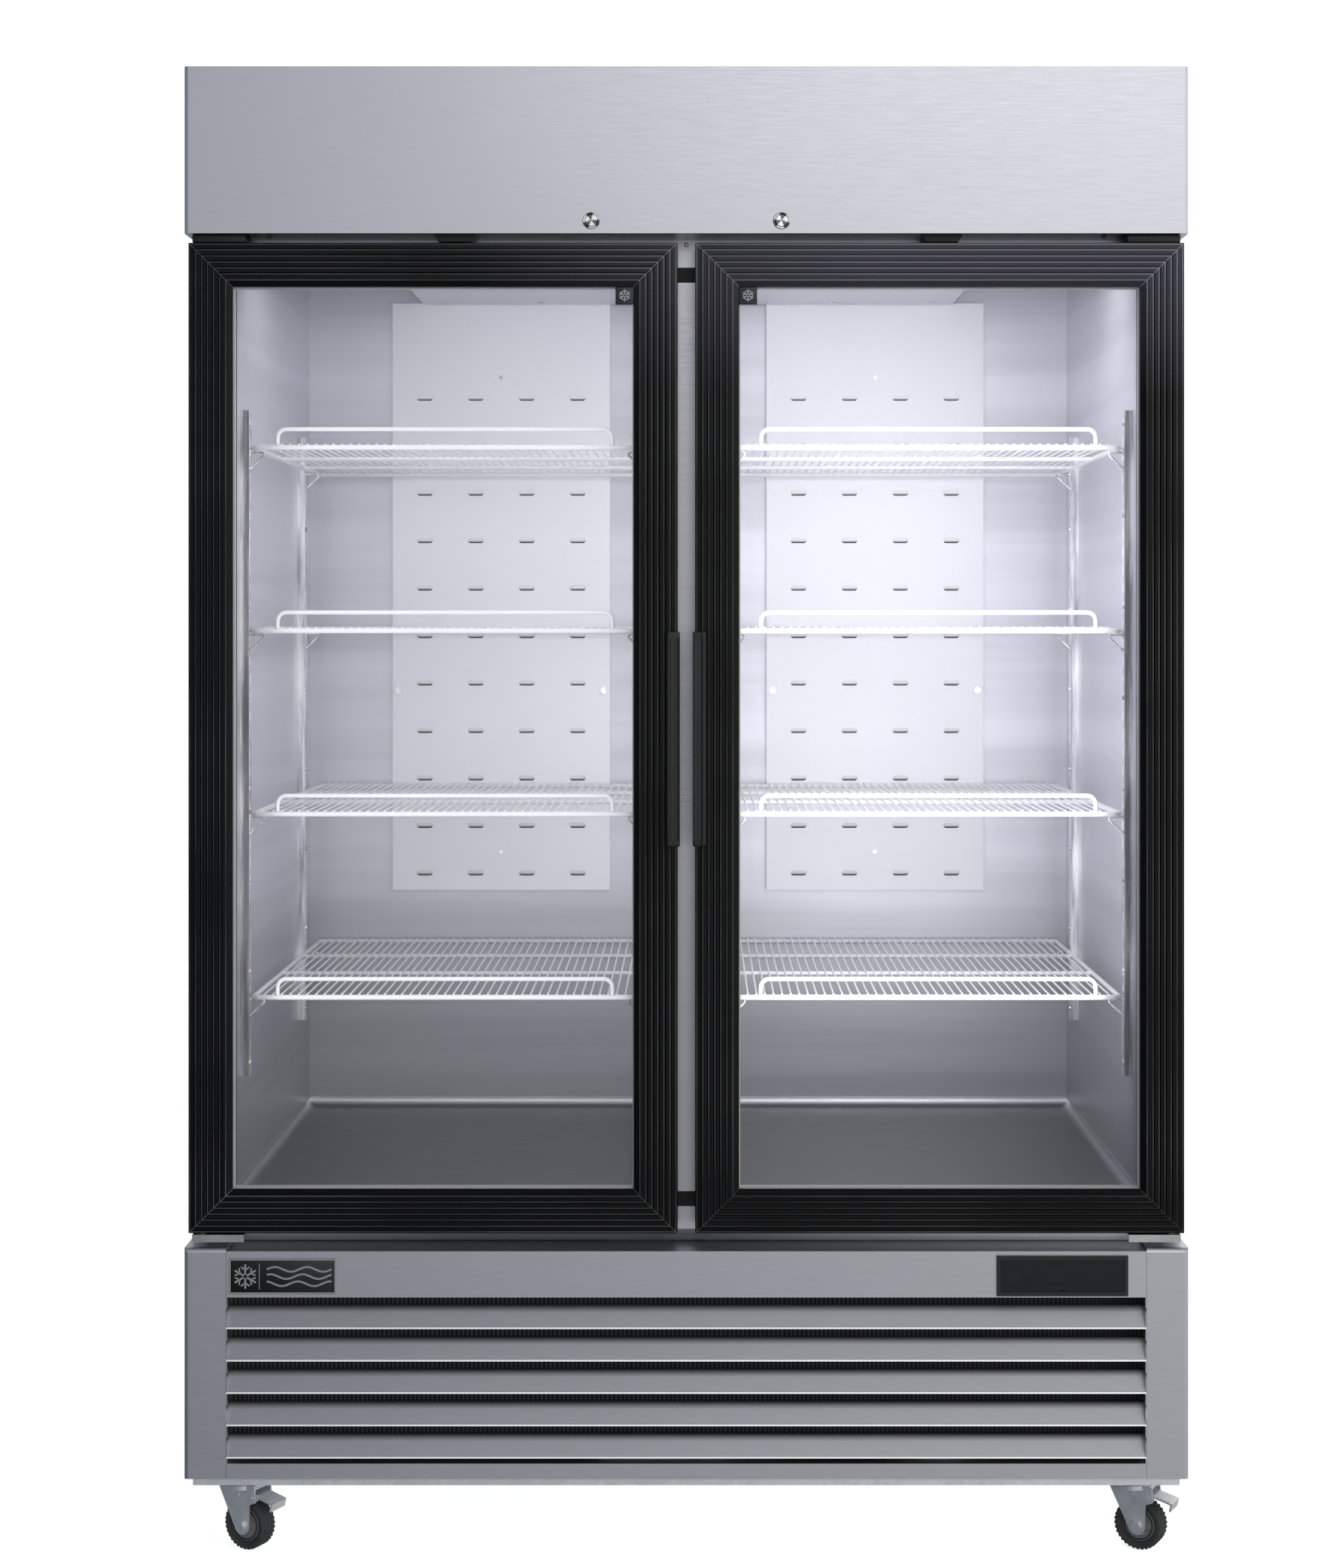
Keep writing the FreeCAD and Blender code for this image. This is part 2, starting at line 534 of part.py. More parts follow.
def make_fan(radius, hub_radius, depth, blades=5):
    """A fan wheel on the Z axis, its hub from z = 0 up, with a bore for the motor's shaft."""
    root, tip, pitch_angle, blade_skin = hub_radius - 3, radius * 0.93, 24, 1.5
    hub = Part.makeCylinder(hub_radius, depth)
    blade_shapes = []
    for k in range(blades):
        outline = [Vector(root, -hub_radius * 0.55, 0), Vector(tip, -radius * 0.36, 0),
                   Vector(tip, radius * 0.36, 0), Vector(root, hub_radius * 0.55, 0)]
        blade = Part.Face(Part.makePolygon(outline + outline[:1])).extrude(Z_AXIS * blade_skin)
        blade.rotate(Vector(), X_AXIS, pitch_angle)
        blade.translate(Vector(0, 0, depth / 2))
        blade.rotate(Vector(), Z_AXIS, k * 360 / blades)
        blade_shapes.append(blade)
    sweep = Part.makeCylinder(radius, depth)
    wheel = hub.multiFuse([blade.common(sweep) for blade in blade_shapes])
    return wheel.cut(Part.makeCylinder(dim("shaft_radius") + dim("running_fit"), depth + 2, Vector(0, 0, -1)))


def make_evaporator_housing():
    """A bevelled cover under the ceiling, its fan guard, and the fan motor with its shaft."""
    half, low, high = dim("housing_width") / 2, dim("housing_low"), dim("ceiling_height")
    bevel, front, back = dim("housing_bevel"), -dim("housing_front"), dim("housing_back")
    skin, fan_y = dim("skin"), -dim("fan_forward")

    def trapezium(inset):
        """The cover's section at its front, shrunk by the sheet's thickness."""
        outer, base, chamfer = half - inset, low + inset, bevel - 0.4 * inset
        points = [Vector(-outer + chamfer, front, base), Vector(outer - chamfer, front, base),
                  Vector(outer, front, base + chamfer), Vector(outer, front, high),
                  Vector(-outer, front, high), Vector(-outer, front, base + chamfer)]
        return Part.Face(Part.makePolygon(points + points[:1]))

    shell = trapezium(0).extrude(Y_AXIS * (back - front))
    hollow = trapezium(skin).extrude(Y_AXIS * (back - front - 2 * skin))
    hollow.translate(Vector(0, skin, 0))
    hole = Part.makeCylinder(dim("fan_hole_radius"), 4, Vector(0, fan_y, low - 1))
    cover = shell.cut([hollow, hole])
    guard_z, inner, outer = low + skin / 2, dim("guard_ring_inner"), dim("fan_hole_radius") + 1
    centre = Vector(0, fan_y, guard_z)
    rings = [Part.makeTorus(inner + k * dim("guard_ring_pitch"), dim("guard_ring_wire"), centre)
             for k in range(4)]
    bars = [rod((dx * inner, fan_y + dy * inner, guard_z), (dx * outer, fan_y + dy * outer, guard_z),
                dim("guard_bar_radius")) for dx, dy in ((1, 0), (-1, 0), (0, 1), (0, -1))]
    cover = cover.fuse(rings[0].multiFuse(rings[1:] + bars))
    motor_low = fan_height() + dim("fan_depth") + 4
    motor = Part.makeCylinder(dim("fan_motor_radius"), high - motor_low, Vector(0, fan_y, motor_low))
    shaft = Part.makeCylinder(dim("shaft_radius"), dim("fan_depth") + 8, Vector(0, fan_y, fan_height() - 4))
    return feature("evaporator_housing", Part.makeCompound([cover.Solids[0], motor.fuse(shaft)]))


def fan_height():
    return dim("housing_low") + dim("fan_lift")


def make_evaporator_coil():
    """Fin block with its tube bends at both ends."""
    low, high = dim("housing_low") + dim("coil_lift"), dim("ceiling_height") - 8
    front, back, half = dim("coil_front"), dim("coil_back"), dim("coil_half_width")
    bend, tube = dim("coil_bend"), dim("coil_tube")
    block = Part.makeBox(2 * half, back - front, high - low, Vector(-half, front, low))
    bends = []
    for k in range(5):
        y = front + 34 + k * dim("coil_pitch")
        for z in (low + 40, high - 40):
            for side in SIDES.values():
                ring = Part.makeTorus(bend, tube, Vector(side * half, y, z), Z_AXIS)
                keep = Part.makeBox(30, 60, 20, Vector(half if side > 0 else -half - 30, y - 30, z - 10))
                bends.append(ring.common(keep))
    return feature("evaporator_coil", block.multiFuse(bends))


def make_evaporator_fan():
    fan = make_fan(dim("fan_radius"), dim("fan_hub_radius"), dim("fan_depth"))
    fan.translate(Vector(0, -dim("fan_forward"), fan_height()))
    return feature("evaporator_fan", fan)


def make_led_lamps():
    """Two lamp bars under the door beam, behind the breaker strip."""
    half_gap = dim("mullion_width") / 2 + 30
    lamps = []
    for name, side in SIDES.items():
        x = mirrored(side, half_gap, "inner_width / 2 - 60")
        lamps.append(box(f"{name}_lamp", x, (f"{BEAM_BACK} + 1", f"{BEAM_BACK} + 25"),
                         ("beam_bottom - 2", "beam_bottom + 14")))
    return group("led_lamps", lamps)


def make_condenser():
    """Finned condenser behind the grille, its shroud with the fan motor, and the gas pipes."""
    low, high, skin = dim("condenser_low"), dim("condenser_high"), 2
    x, y, half = -dim("condenser_x"), -dim("condenser_y"), dim("condenser_half_width")
    core_depth, shroud_depth = dim("core_depth"), dim("shroud_depth")
    middle, tall = (low + high) / 2, high - low
    core = Part.makeBox(2 * half, core_depth, tall, Vector(x - half, y - core_depth, low))
    shroud = Part.makeBox(2 * half, shroud_depth, tall, Vector(x - half, y, low))
    shroud = shroud.cut([
        Part.makeBox(2 * (half - skin), shroud_depth - 1, tall - 2 * skin,
                     Vector(x - half + skin, y, low + skin)),
        Part.makeCylinder(dim("shroud_hole_radius"), 10, Vector(x, y + shroud_depth - 5, middle), Y_AXIS)])
    motor_y = y + shroud_depth + 22
    motor = Part.makeCylinder(dim("condenser_motor_radius"), 58, Vector(x, motor_y, middle), Y_AXIS)
    shaft = Part.makeCylinder(dim("shaft_radius"), 44, Vector(x, motor_y - 44, middle), Y_AXIS)
    near, far = 24, 100
    arms = [rod((x + dx * near, motor_y + 20, middle + dz * near),
                (x + dx * far, y + shroud_depth + 1, middle + dz * far), 3)
            for dx in (-1, 1) for dz in (-1, 1)]
    motor = motor.multiFuse([shaft] + arms)
    outlet, inlet, pipe, bend = high - 35, low + 25, dim("pipe_radius"), dim("pipe_bend")
    side, ahead = x + half, y - core_depth / 2
    pipe_out = bent_wire([(side, ahead, outlet), (60, ahead, outlet), (60, 20, outlet), (176, 20, outlet),
                          (176, 20, outlet - 60)], bend, pipe)
    pipe_in = bent_wire([(side, ahead, inlet), (20, ahead, inlet), (20, 300, inlet), (20, 300, high + 29)],
                        bend, pipe)
    drier = Part.makeCylinder(dim("drier_radius"), dim("drier_length"), Vector(20, 300, low + 95))
    return feature("condenser", Part.makeCompound([core, shroud, motor, pipe_out, pipe_in.fuse(drier)]))


def make_condenser_fan():
    fan = make_fan(dim("condenser_fan_radius"), 28, 30)
    middle = (dim("condenser_low") + dim("condenser_high")) / 2
    place = Placement(Vector(-dim("condenser_x"), -dim("condenser_y") + 50, middle), Rotation(Z_AXIS, Y_AXIS))
    return feature("condenser_fan", fan.transformed(place.toMatrix(), True))


def make_compressor():
    """Welded steel pot on four feet, with its terminal cover."""
    foot_height = 14
    x, y, low = dim("compressor_x"), dim("compressor_y"), dim("pan_low") + dim("pan_skin") + foot_height
    radius = dim("compressor_radius")
    pot = Part.makeCylinder(radius, dim("compressor_height"), Vector(x, y, low + 12))
    rims = [edge for edge in pot.Edges if abs(edge.BoundBox.ZLength) < 0.01]
    pot = pot.makeFillet(dim("compressor_round"), rims)
    feet = Part.makeBox(230, 130, 3, Vector(x - 115, y - 65, low))
    posts = [Part.makeCylinder(13, foot_height, Vector(x + dx * 95, y + dy * 45, low - foot_height))
             for dx in (-1, 1) for dy in (-1, 1)]
    skirt = Part.makeCylinder(60, 30, Vector(x, y, low))
    cover = Part.makeBox(50, 70, 80, Vector(x + 70, y - 35, low + 60))
    pot = pot.multiFuse([feet, skirt])
    return feature("compressor", Part.makeCompound([pot] + posts + [cover.cut(pot)]))


# ---------------------------------------------------------------- header, locks and hinges

def make_header_panel():
    """The folded header cover, open at its back, with lock holes and a slot under each lock."""
    low, high = "header_low", "cabinet_height"
    block = box("header_block", centred("cabinet_width"), ("-front_depth", "-face_depth"), (low, high))
    hollow = box("header_hollow", centred(f"2 * ({INSIDE_SKIN})"), ("-front_depth + skin", "-face_depth + 1"),
                 (f"{low} + skin", f"{high} - skin"))
    front = -dim("front_depth")

    def front_corner(middle):
        return abs(middle.y - front) < 0.1 and abs(middle.x) > 600

    outside = fillet("header_outside", block, dim("header_bend"), front_corner)
    inside = fillet("header_inside", hollow, dim("header_bend") - dim("skin"),
                    lambda middle: abs(middle.y - front - dim("skin")) < 0.1 and abs(middle.x) > 600)
    tools = [inside]
    for name, side in SIDES.items():
        tools.append(cylinder(f"{name}_lock_hole", "lock_body_radius",
                              (f"{side} * lock_x", "-front_depth - 1", "lock_height"), Y_AXIS, "4"))
        tools.append(box(f"{name}_cam_slot", centred("2 * cam_length + 4", f"{side} * lock_x"),
                         ("-front_depth + lock_depth - 2", "-front_depth + lock_depth + cam_thickness + 2"),
                         (f"{low} - 1", f"{low} + skin + 1")))
    return cut("header_panel", outside, *tools)


def make_lock_housings():
    """Bezel and barrel of each key lock."""
    locks = []
    for name, side in SIDES.items():
        x, z = f"{side} * lock_x", "lock_height"
        bezel = cylinder(f"{name}_lock_bezel", "lock_bezel_radius", (x, "-front_depth - bezel_rise", z),
                         Y_AXIS, "bezel_rise")
        barrel = cylinder(f"{name}_lock_barrel", "lock_body_radius", (x, "-front_depth", z), Y_AXIS,
                          "lock_depth - 1")
        bore = cylinder(f"{name}_lock_bore", "plug_radius + running_fit",
                        (x, "-front_depth - bezel_rise - 1", z), Y_AXIS, "lock_depth + 4")
        locks.append(cut(f"{name}_lock", fuse(f"{name}_lock_body", [bezel, barrel]), bore))
    return group("lock_housings", locks)


def make_lock_cams():
    """The turning plug with its keyhole, and the cam that drops into the door's top rail."""
    cams = []
    for name, side in SIDES.items():
        x, back = f"{side} * lock_x", "-front_depth + lock_depth"
        plug = cylinder(f"{name}_plug", "plug_radius", (x, "-front_depth - plug_stand", "lock_height"),
                        Y_AXIS, "lock_depth + plug_stand")
        blade = box(f"{name}_blade", mirrored(side, "lock_x - cam_width / 2", "lock_x + cam_length"),
                    (back, f"{back} + cam_thickness"), centred("cam_width", "lock_height"))
        keyhole = box(f"{name}_keyhole", centred("keyhole_width", x),
                      ("-front_depth - plug_stand - 1", "-front_depth + 6"),
                      centred("keyhole_height", "lock_height"))
        cams.append(cut(f"lock_cam_{name}", fuse(f"{name}_cam_body", [plug, blade]), keyhole))
    return cams


def make_hinge_brackets():
    """Folded hinge plates with their pins: one below and one above each door."""
    brackets = []
    for name, side in SIDES.items():
        x, back = mirrored(side, "bracket_inner", "bracket_outer"), "-face_depth"
        pin_x = f"{side} * hinge_x"
        low = "door_low - low_gap - bracket_thickness"
        plate = box(f"{name}_low_plate", x, ("-bracket_front", back), (low, f"{low} + bracket_thickness"))
        lip = box(f"{name}_low_lip", x, ("-bracket_front", "-bracket_front + 3"),
                  (f"{low} - bracket_drop", low))
        foot = box(f"{name}_low_foot", x, (f"{back} - bracket_thickness", back), (f"{low} - low_foot", low))
        pin = cylinder(f"{name}_low_pin", "pin_radius", (pin_x, "-hinge_front", f"{low} - 1"), Z_AXIS,
                       "pin_engagement + bracket_thickness + low_gap + 1")
        washer = cylinder(f"{name}_low_washer", "washer_radius",
                          (pin_x, "-hinge_front", "door_low - low_gap"), Z_AXIS, "low_gap - running_gap")
        under = dim("door_low") - dim("low_gap") - dim("bracket_thickness")
        front = -dim("hinge_front")
        pin_head = hexagon(14, 6, Vector(side * dim("hinge_x"), front, under - 6), Z_AXIS)
        bolt_head = hexagon(11, 5, Vector(side * dim("bracket_bolt_x"), front + 4, under - 5), Z_AXIS)
        heads = feature(f"{name}_low_heads", pin_head.fuse(bolt_head))
        brackets.append(fuse(f"{name}_low_bracket", [plate, lip, foot, pin, washer, heads]))
        top = "door_high + top_gap"
        plate = box(f"{name}_top_plate", x, ("-bracket_front + 6", back), (top, f"{top} + bracket_thickness"))
        foot = box(f"{name}_top_foot", x, (f"{back} - bracket_thickness", back), (f"{top} - top_foot", top))
        pin = cylinder(f"{name}_top_pin", "pin_radius", (pin_x, "-hinge_front", "door_high - pin_engagement"),
                       Z_AXIS, "pin_engagement + top_gap + 2")
        washer = cylinder(f"{name}_top_washer", "washer_radius",
                          (pin_x, "-hinge_front", "door_high + running_gap"), Z_AXIS, "top_gap - running_gap")
        brackets.append(fuse(f"{name}_top_bracket", [plate, foot, pin, washer]))
    return group("hinge_brackets", brackets)


def make_door_switches():
    """Door switch housings hung under the header."""
    switches = []
    for name, middle in (("left", "-switch_left_x"), ("right", "switch_right_x")):
        top, bottom = "switch_width / 2", "switch_width / 2 - switch_taper"
        body = profile_body(f"{name}_switch", "XZ_Plane", [
            (f"-({bottom})", "-switch_height"), (bottom, "-switch_height"), (top, "0"), (f"-({top})", "0")],
            "switch_depth", backwards=True)
        switches.append(move(body, middle, "-switch_front", "header_low"))
    return group("door_switches", switches)


# ---------------------------------------------------------------- doors

def rail_profile():
    """Section of a door rail: outer step, five ribs, bevel, glazing channel and rear lip.

    The first value is the distance in from the door's edge and the second the distance back
    from its front.
    """
    points = [("0", "step_depth"), ("step_width - 1", "step_depth"), ("step_width", "0")]
    for k in range(1, 5):
        middle = f"step_width + {k} * rib_pitch"
        points += [(f"{middle} - groove_width / 2", "0"), (middle, "groove_depth"),
                   (f"{middle} + groove_width / 2", "0")]
    lip_back = "glass_back + lip_thickness"
    points += [("rail_width - bevel_width", "0"), ("rail_width", "bevel_depth"),
               ("rail_width", "glass_front"), ("lip_start", "glass_front"), ("lip_start", "glass_back"),
               ("rail_width", "glass_back"), ("rail_width", lip_back), ("lip_start - 2", lip_back),
               ("lip_start - 2", "door_thickness"), ("0", "door_thickness")]
    return points


def make_rail(name, length):
    """A door rail with both ends cut to a mitre, standing on the Z axis."""
    rail = profile_body(name, "XY_Plane", rail_profile(), length)
    reach = "rail_width + 5"
    add_pocket(rail, f"{name}_low_mitre", [("-1", "-3"), ("-1", "-1"), (reach, reach), (reach, "-3")],
               "door_thickness + 1")
    add_pocket(rail, f"{name}_high_mitre", [
        ("-1", f"{length} + 3"), ("-1", f"{length} + 1"), (reach, f"{length} - ({reach})"),
        (reach, f"{length} + 3")], "door_thickness + 1")
    return rail


def make_door_frames():
    """Four mitred rails a door, with bores for the hinge pins and a slot for the lock cam."""
    width, height = dim("door_outer") - dim("door_inner"), dim("door_high") - dim("door_low")
    stile = make_rail("stile", "door_high - door_low")
    rail = make_rail("rail", "door_outer - door_inner")
    front, low, high = -dim("door_front"), dim("door_low"), dim("door_high")
    frames = []
    for name, side in SIDES.items():
        left = -dim("door_outer") if side < 0 else dim("door_inner")
        right = left + width
        stiles = copies(f"{name}_stiles", stile, [
            Placement(Vector(left, front, low), Rotation()),
            Placement(Vector(right, front, high), Rotation(Y_AXIS, 180))])
        rails = copies(f"{name}_rails", rail, [
            Placement(Vector(left, front, high), Rotation(Y_AXIS, 90)),
            Placement(Vector(right, front, low), Rotation(Y_AXIS, -90))])
        pin = ("pin_radius + running_fit", (f"{side} * hinge_x", "-hinge_front"), "pin_engagement + 2")
        bores = [cylinder(f"{name}_low_bore", pin[0], (*pin[1], "door_low - 1"), Z_AXIS, f"{pin[2]} + 1"),
                 cylinder(f"{name}_high_bore", pin[0], (*pin[1], "door_high - pin_engagement - 2"), Z_AXIS,
                          "pin_engagement + 3")]
        slot = box(f"{name}_cam_pocket", centred("2 * cam_length", f"{side} * lock_x"),
                   ("-front_depth + lock_depth - 2", "-front_depth + lock_depth + cam_thickness + 2"),
                   ("door_high - 14", "door_high + 1"))
        whole = group(f"{name}_frame_rails", [stiles, rails])
        frames.append(cut(f"door_frame_{name}", whole, *bores, slot))
    return frames


def make_glass_units():
    """Two panes held apart by a hollow spacer frame, as three separate solids."""
    units = []
    for name, side in SIDES.items():
        inset = "(lip_start + 1)"
        x = mirrored(side, f"door_inner + {inset}", f"door_outer - {inset}")
        z = (f"door_low + {inset}", f"door_high - {inset}")
        front = "-door_front + glass_front"
        back = "-door_front + glass_back"
        panes = [box(f"{name}_front_pane", x, (front, f"{front} + pane"), z),
                 box(f"{name}_rear_pane", x, (f"{back} - pane", back), z)]
        outer = "(rail_width + spacer_show - spacer_width)"
        hollow = "(rail_width + spacer_show)"
        gap = (f"{front} + pane", f"{back} - pane")
        block = box(f"{name}_spacer_block", mirrored(side, f"door_inner + {outer}", f"door_outer - {outer}"),
                    gap, (f"door_low + {outer}", f"door_high - {outer}"))
        hole = box(f"{name}_spacer_hole", mirrored(side, f"door_inner + {hollow}", f"door_outer - {hollow}"),
                   (f"{gap[0]} - 1", f"{gap[1]} + 1"), (f"door_low + {hollow}", f"door_high - {hollow}"))
        units.append(group(f"glass_unit_{name}", panes + [cut(f"{name}_spacer", block, hole)]))
    return units


def make_gaskets():
    """Magnetic gasket ring behind each door, just clear of the cabinet's face."""
    gaskets = []
    for name, side in SIDES.items():
        near, far = "gasket_inset", "(gasket_inset + gasket_width)"
        y = ("-door_front + door_thickness", "-face_depth - gasket_gap")
        block = box(f"{name}_gasket_block", mirrored(side, f"door_inner + {near}", f"door_outer - {near}"), y,
                    (f"door_low + {near}", f"door_high - {near}"))
        hole = box(f"{name}_gasket_hole", mirrored(side, f"door_inner + {far}", f"door_outer - {far}"),
                   (f"{y[0]} - 1", f"{y[1]} + 1"), (f"door_low + {far}", f"door_high - {far}"))
        gaskets.append(cut(f"door_gasket_{name}", block, hole))
    return gaskets


def make_handles():
    """Channel pulls on the meeting edges: a grip plate, a web and two end caps, moulded as one."""
    handles = []
    for name, side in SIDES.items():
        outer = "door_inner - handle_overhang + handle_width"
        tip = "door_inner - handle_overhang"
        front, back = "-door_front - handle_stand", "-door_front"
        block = box(f"{name}_handle_block", mirrored(side, tip, outer), (front, back),
                    ("handle_low", "handle_high"))
        recess = box(f"{name}_handle_recess", mirrored(side, f"{tip} - 1", f"{outer} - handle_wall"),
                     (f"{front} + handle_wall", f"{back} - 1.5"),
                     ("handle_low + handle_cap", "handle_high - handle_cap"))
        handles.append(cut(f"door_handle_{name}", block, recess))
    return handles


# ---------------------------------------------------------------- grille, covers and controls

def make_louver_panel():
    """Top band, sill, side flanges and five sloping louvres with rolled front edges."""
    half, skin, front = "grille_half_width", "skin", "-front_depth"
    across, face = centred(f"2 * {half}"), (front, f"{front} + {skin}")
    band = box("grille_band", across, face, ("band_low", "grille_high"))
    window = box("control_opening", centred("window_width + 2.4", "control_x"),
                 (f"{front} - 1", f"{front} + 3"), centred("window_tall + 2.4", "control_height"))
    fold = (front, f"{front} + grille_fold")
    pieces = [cut("grille_top_band", band, window),
              box("grille_ledge", across, (front, "-face_depth"), (f"grille_high - {skin}", "grille_high")),
              box("grille_return", across, fold, ("band_low", f"band_low + {skin}")),
              box("grille_sill", across, face, ("cover_low", "sill_high")),
              box("sill_return", across, fold, (f"sill_high - {skin}", "sill_high"))]
    for name, side in SIDES.items():
        pieces.append(box(f"{name}_grille_flange", mirrored(side, f"{half} - {skin}", half),
                          (front, f"{front} + grille_flange"), ("cover_low", "grille_high")))
    for k in range(int(dim("louver_count"))):
        low = f"louver_low + {k} * louver_pitch"
        blade = profile_body(f"louver_{k}", "YZ_Plane", [
            (front, low), (f"{front} + {skin}", f"{low} - 0.6"),
            (f"{front} + louver_run + {skin}", f"{low} + louver_height - 0.6"),
            (f"{front} + louver_run", f"{low} + louver_height")], f"2 * {half} - 0.4")
        pieces.append(move(blade, f"-{half} + 0.2"))
        pieces.append(cylinder(f"louver_roll_{k}", "louver_roll",
                               (f"-{half} + 0.2", f"{front} + louver_roll", low), X_AXIS, f"2 * {half} - 0.4"))
    return fuse("louver_panel", pieces)


def make_base_covers():
    """Corner covers beside the grille, folded round the outer edge and closed on top."""
    covers = []
    front, edge, top = -dim("front_depth"), dim("grille_half_width"), dim("cover_high")
    bend, skin = dim("cover_bend"), dim("skin")

    def rounded(side, depth):
        """Picks the outer upright edge and the top edge of a cover's front."""
        def chosen(middle):
            outer = side * middle.x > dim("cabinet_width") / 2 - 2 * skin
            upper = middle.z > top - 2 * skin and side * middle.x > edge + 10
            return abs(middle.y - depth) < 0.1 and (outer or upper)
        return chosen

    for name, side in SIDES.items():
        inner = "grille_half_width + 0.4"
        block = box(f"{name}_cover_block", mirrored(side, inner, HALF), ("-front_depth", "-face_depth"),
                    ("cover_low", "cover_high"))
        hollow = box(f"{name}_cover_hollow", mirrored(side, f"{inner} - 1", INSIDE_SKIN),
                     ("-front_depth + skin", "-face_depth + 1"), ("cover_low - 1", "cover_high - skin"))
        outside = fillet(f"{name}_cover_outside", block, bend, rounded(side, front))
        inside = fillet(f"{name}_cover_inside", hollow, bend - skin, rounded(side, front + skin))
        covers.append(cut(f"{name}_cover", outside, inside))
    return group("base_covers", covers)


def make_nameplate():
    """A blank badge with a raised rim."""
    middle, front = ("-plate_x", "plate_height"), "-front_depth - plate_stand"
    block = box("badge_block", centred("plate_width", middle[0]), (front, "-front_depth"),
                centred("plate_tall", middle[1]))
    hollow = box("badge_hollow", centred("plate_width - 2 * plate_rim", middle[0]),
                 (f"{front} - 1", f"{front} + plate_recess"), centred("plate_tall - 2 * plate_rim", middle[1]))
    return cut("nameplate", block, hollow)


def make_controls():
    """Thermostat housing with its bezel, the flip cover hinged on two pins, and the rocker switch."""
    x0, z0, front = "control_x", "control_height", "-front_depth - bezel_stand"
    rim = box("bezel_rim", centred("bezel_width", x0), (front, "-front_depth"), centred("bezel_tall", z0))
    body = box("bezel_body", centred("window_width + 2", x0),
               ("-front_depth", "-front_depth + control_depth"), centred("window_tall + 2", z0))
    recess = box("bezel_recess", centred("window_width + 2 * running_gap", x0),
                 (f"{front} - 1", "-front_depth + 2"), centred("window_tall + 2 * running_gap", z0))
    rocker_x = f"{x0} - rocker_x"
    well = box("rocker_well", centred("rocker_width + 1", rocker_x), ("-front_depth + 1", "-front_depth + 16"),
               centred("rocker_tall + 2", z0))
    axis_y = f"{front} + 1.2"
    axis_z = f"{z0} + window_tall / 2 - window_skin / 2"
    edge = f"{x0} - window_width / 2"
    pin_hole = cylinder("cover_pin_hole", "flap_pin_radius + running_fit", (f"{edge} - 2.5", axis_y, axis_z),
                        X_AXIS, "window_width + 5")
    bezel = cut("controller_bezel", fuse("bezel_blank", [rim, body]), recess, well, pin_hole)
    flap = box("flap_plate", centred("window_width", x0), centred("window_skin", axis_y),
               (f"{z0} - window_tall / 2", axis_z))
    knuckle = cylinder("flap_knuckle", "window_skin / 2", (edge, axis_y, axis_z), X_AXIS, "window_width")
    pin = cylinder("flap_pin", "flap_pin_radius", (f"{edge} - 2", axis_y, axis_z), X_AXIS, "window_width + 4")
    notch = cylinder("flap_notch_tool", "flap_notch", (x0, f"{axis_y} - 2", f"{z0} - window_tall / 2 - 1"),
                     Y_AXIS, "4")
    cover = cut("controller_cover", fuse("flap", [flap, knuckle, pin]), notch)
    half_tall, half_wide, pivot_radius = dim("rocker_tall") / 2, dim("rocker_width") / 2, 3
    rocker = Part.makeBox(2 * half_wide, 6, 2 * half_tall, Vector(-half_wide, -5.5, -half_tall))
    rocker = rocker.fuse(Part.makeCylinder(pivot_radius, 2 * half_wide, Vector(-half_wide, 0, 0), X_AXIS))
    place = Vector(dim("control_x") - dim("rocker_x"), dim("rocker_pivot") - dim("front_depth"),
                   dim("control_height"))
    tilt = Rotation(X_AXIS, dim("rocker_tilt"))
    return bezel, cover, feature("power_switch", rocker, Placement(place, tilt))


# ---------------------------------------------------------------- base, rear and casters

def make_base_pan():
    """Galvanised pan that carries the machinery and the casters, and whose rim holds the cabinet."""
    block = box("base_block", centred("2 * pan_half_width"), ("-pan_front", "pan_back"),
                ("pan_low", "cover_low"))
    hollow = box("base_hollow", centred("2 * (pan_half_width - pan_skin)"),
                 ("-pan_front + pan_skin", "pan_back - pan_skin"), ("pan_low + pan_skin", "cover_low + 1"))
    return cut("base_pan", block, hollow)


def make_rear_grille():
    """Rear service panel with three fields of upright slots and the hole of the cord gland."""
    skin, half, low = dim("skin"), dim("cabinet_width") / 2 - dim("skin"), dim("cover_low")
    back = dim("back_depth")
    panel = Part.makeBox(2 * half, skin, dim("deck_height") - low, Vector(-half, back - skin, low))
    width, tall = dim("vent_width"), dim("vent_height")
    starts = [field + k * dim("vent_pitch") - width / 2 for field in (-520, -180, 200) for k in range(14)]
    slots = [Part.makeBox(width, 4, tall, Vector(x, back - 3, dim("vent_low"))) for x in starts]
    gland = Vector(dim("gland_x"), back - 3, dim("gland_height"))
    hole = Part.makeCylinder(dim("gland_radius"), 4, gland, Y_AXIS)
    return feature("rear_grille", panel.cut(slots + [hole]))


def make_cord_gland():
    """Flanged gland in the rear panel; the supply cord leaves through its bore."""
    face = Vector(dim("gland_x"), dim("back_depth"), dim("gland_height"))
    inside, outside = Y_AXIS * 14, Y_AXIS * 2
    barrel = Part.makeCylinder(dim("gland_radius"), 16, face - inside, Y_AXIS)
    flange = Part.makeCylinder(dim("gland_radius") + 6, 2, face, Y_AXIS)
    nut = hexagon(24, 5, face - Y_AXIS * 6.2, Y_AXIS)
    bore = Part.makeCylinder(dim("gland_bore"), 18, face - inside - outside / 2, Y_AXIS)
    return feature("cord_gland", barrel.multiFuse([flange, nut]).cut(bore))


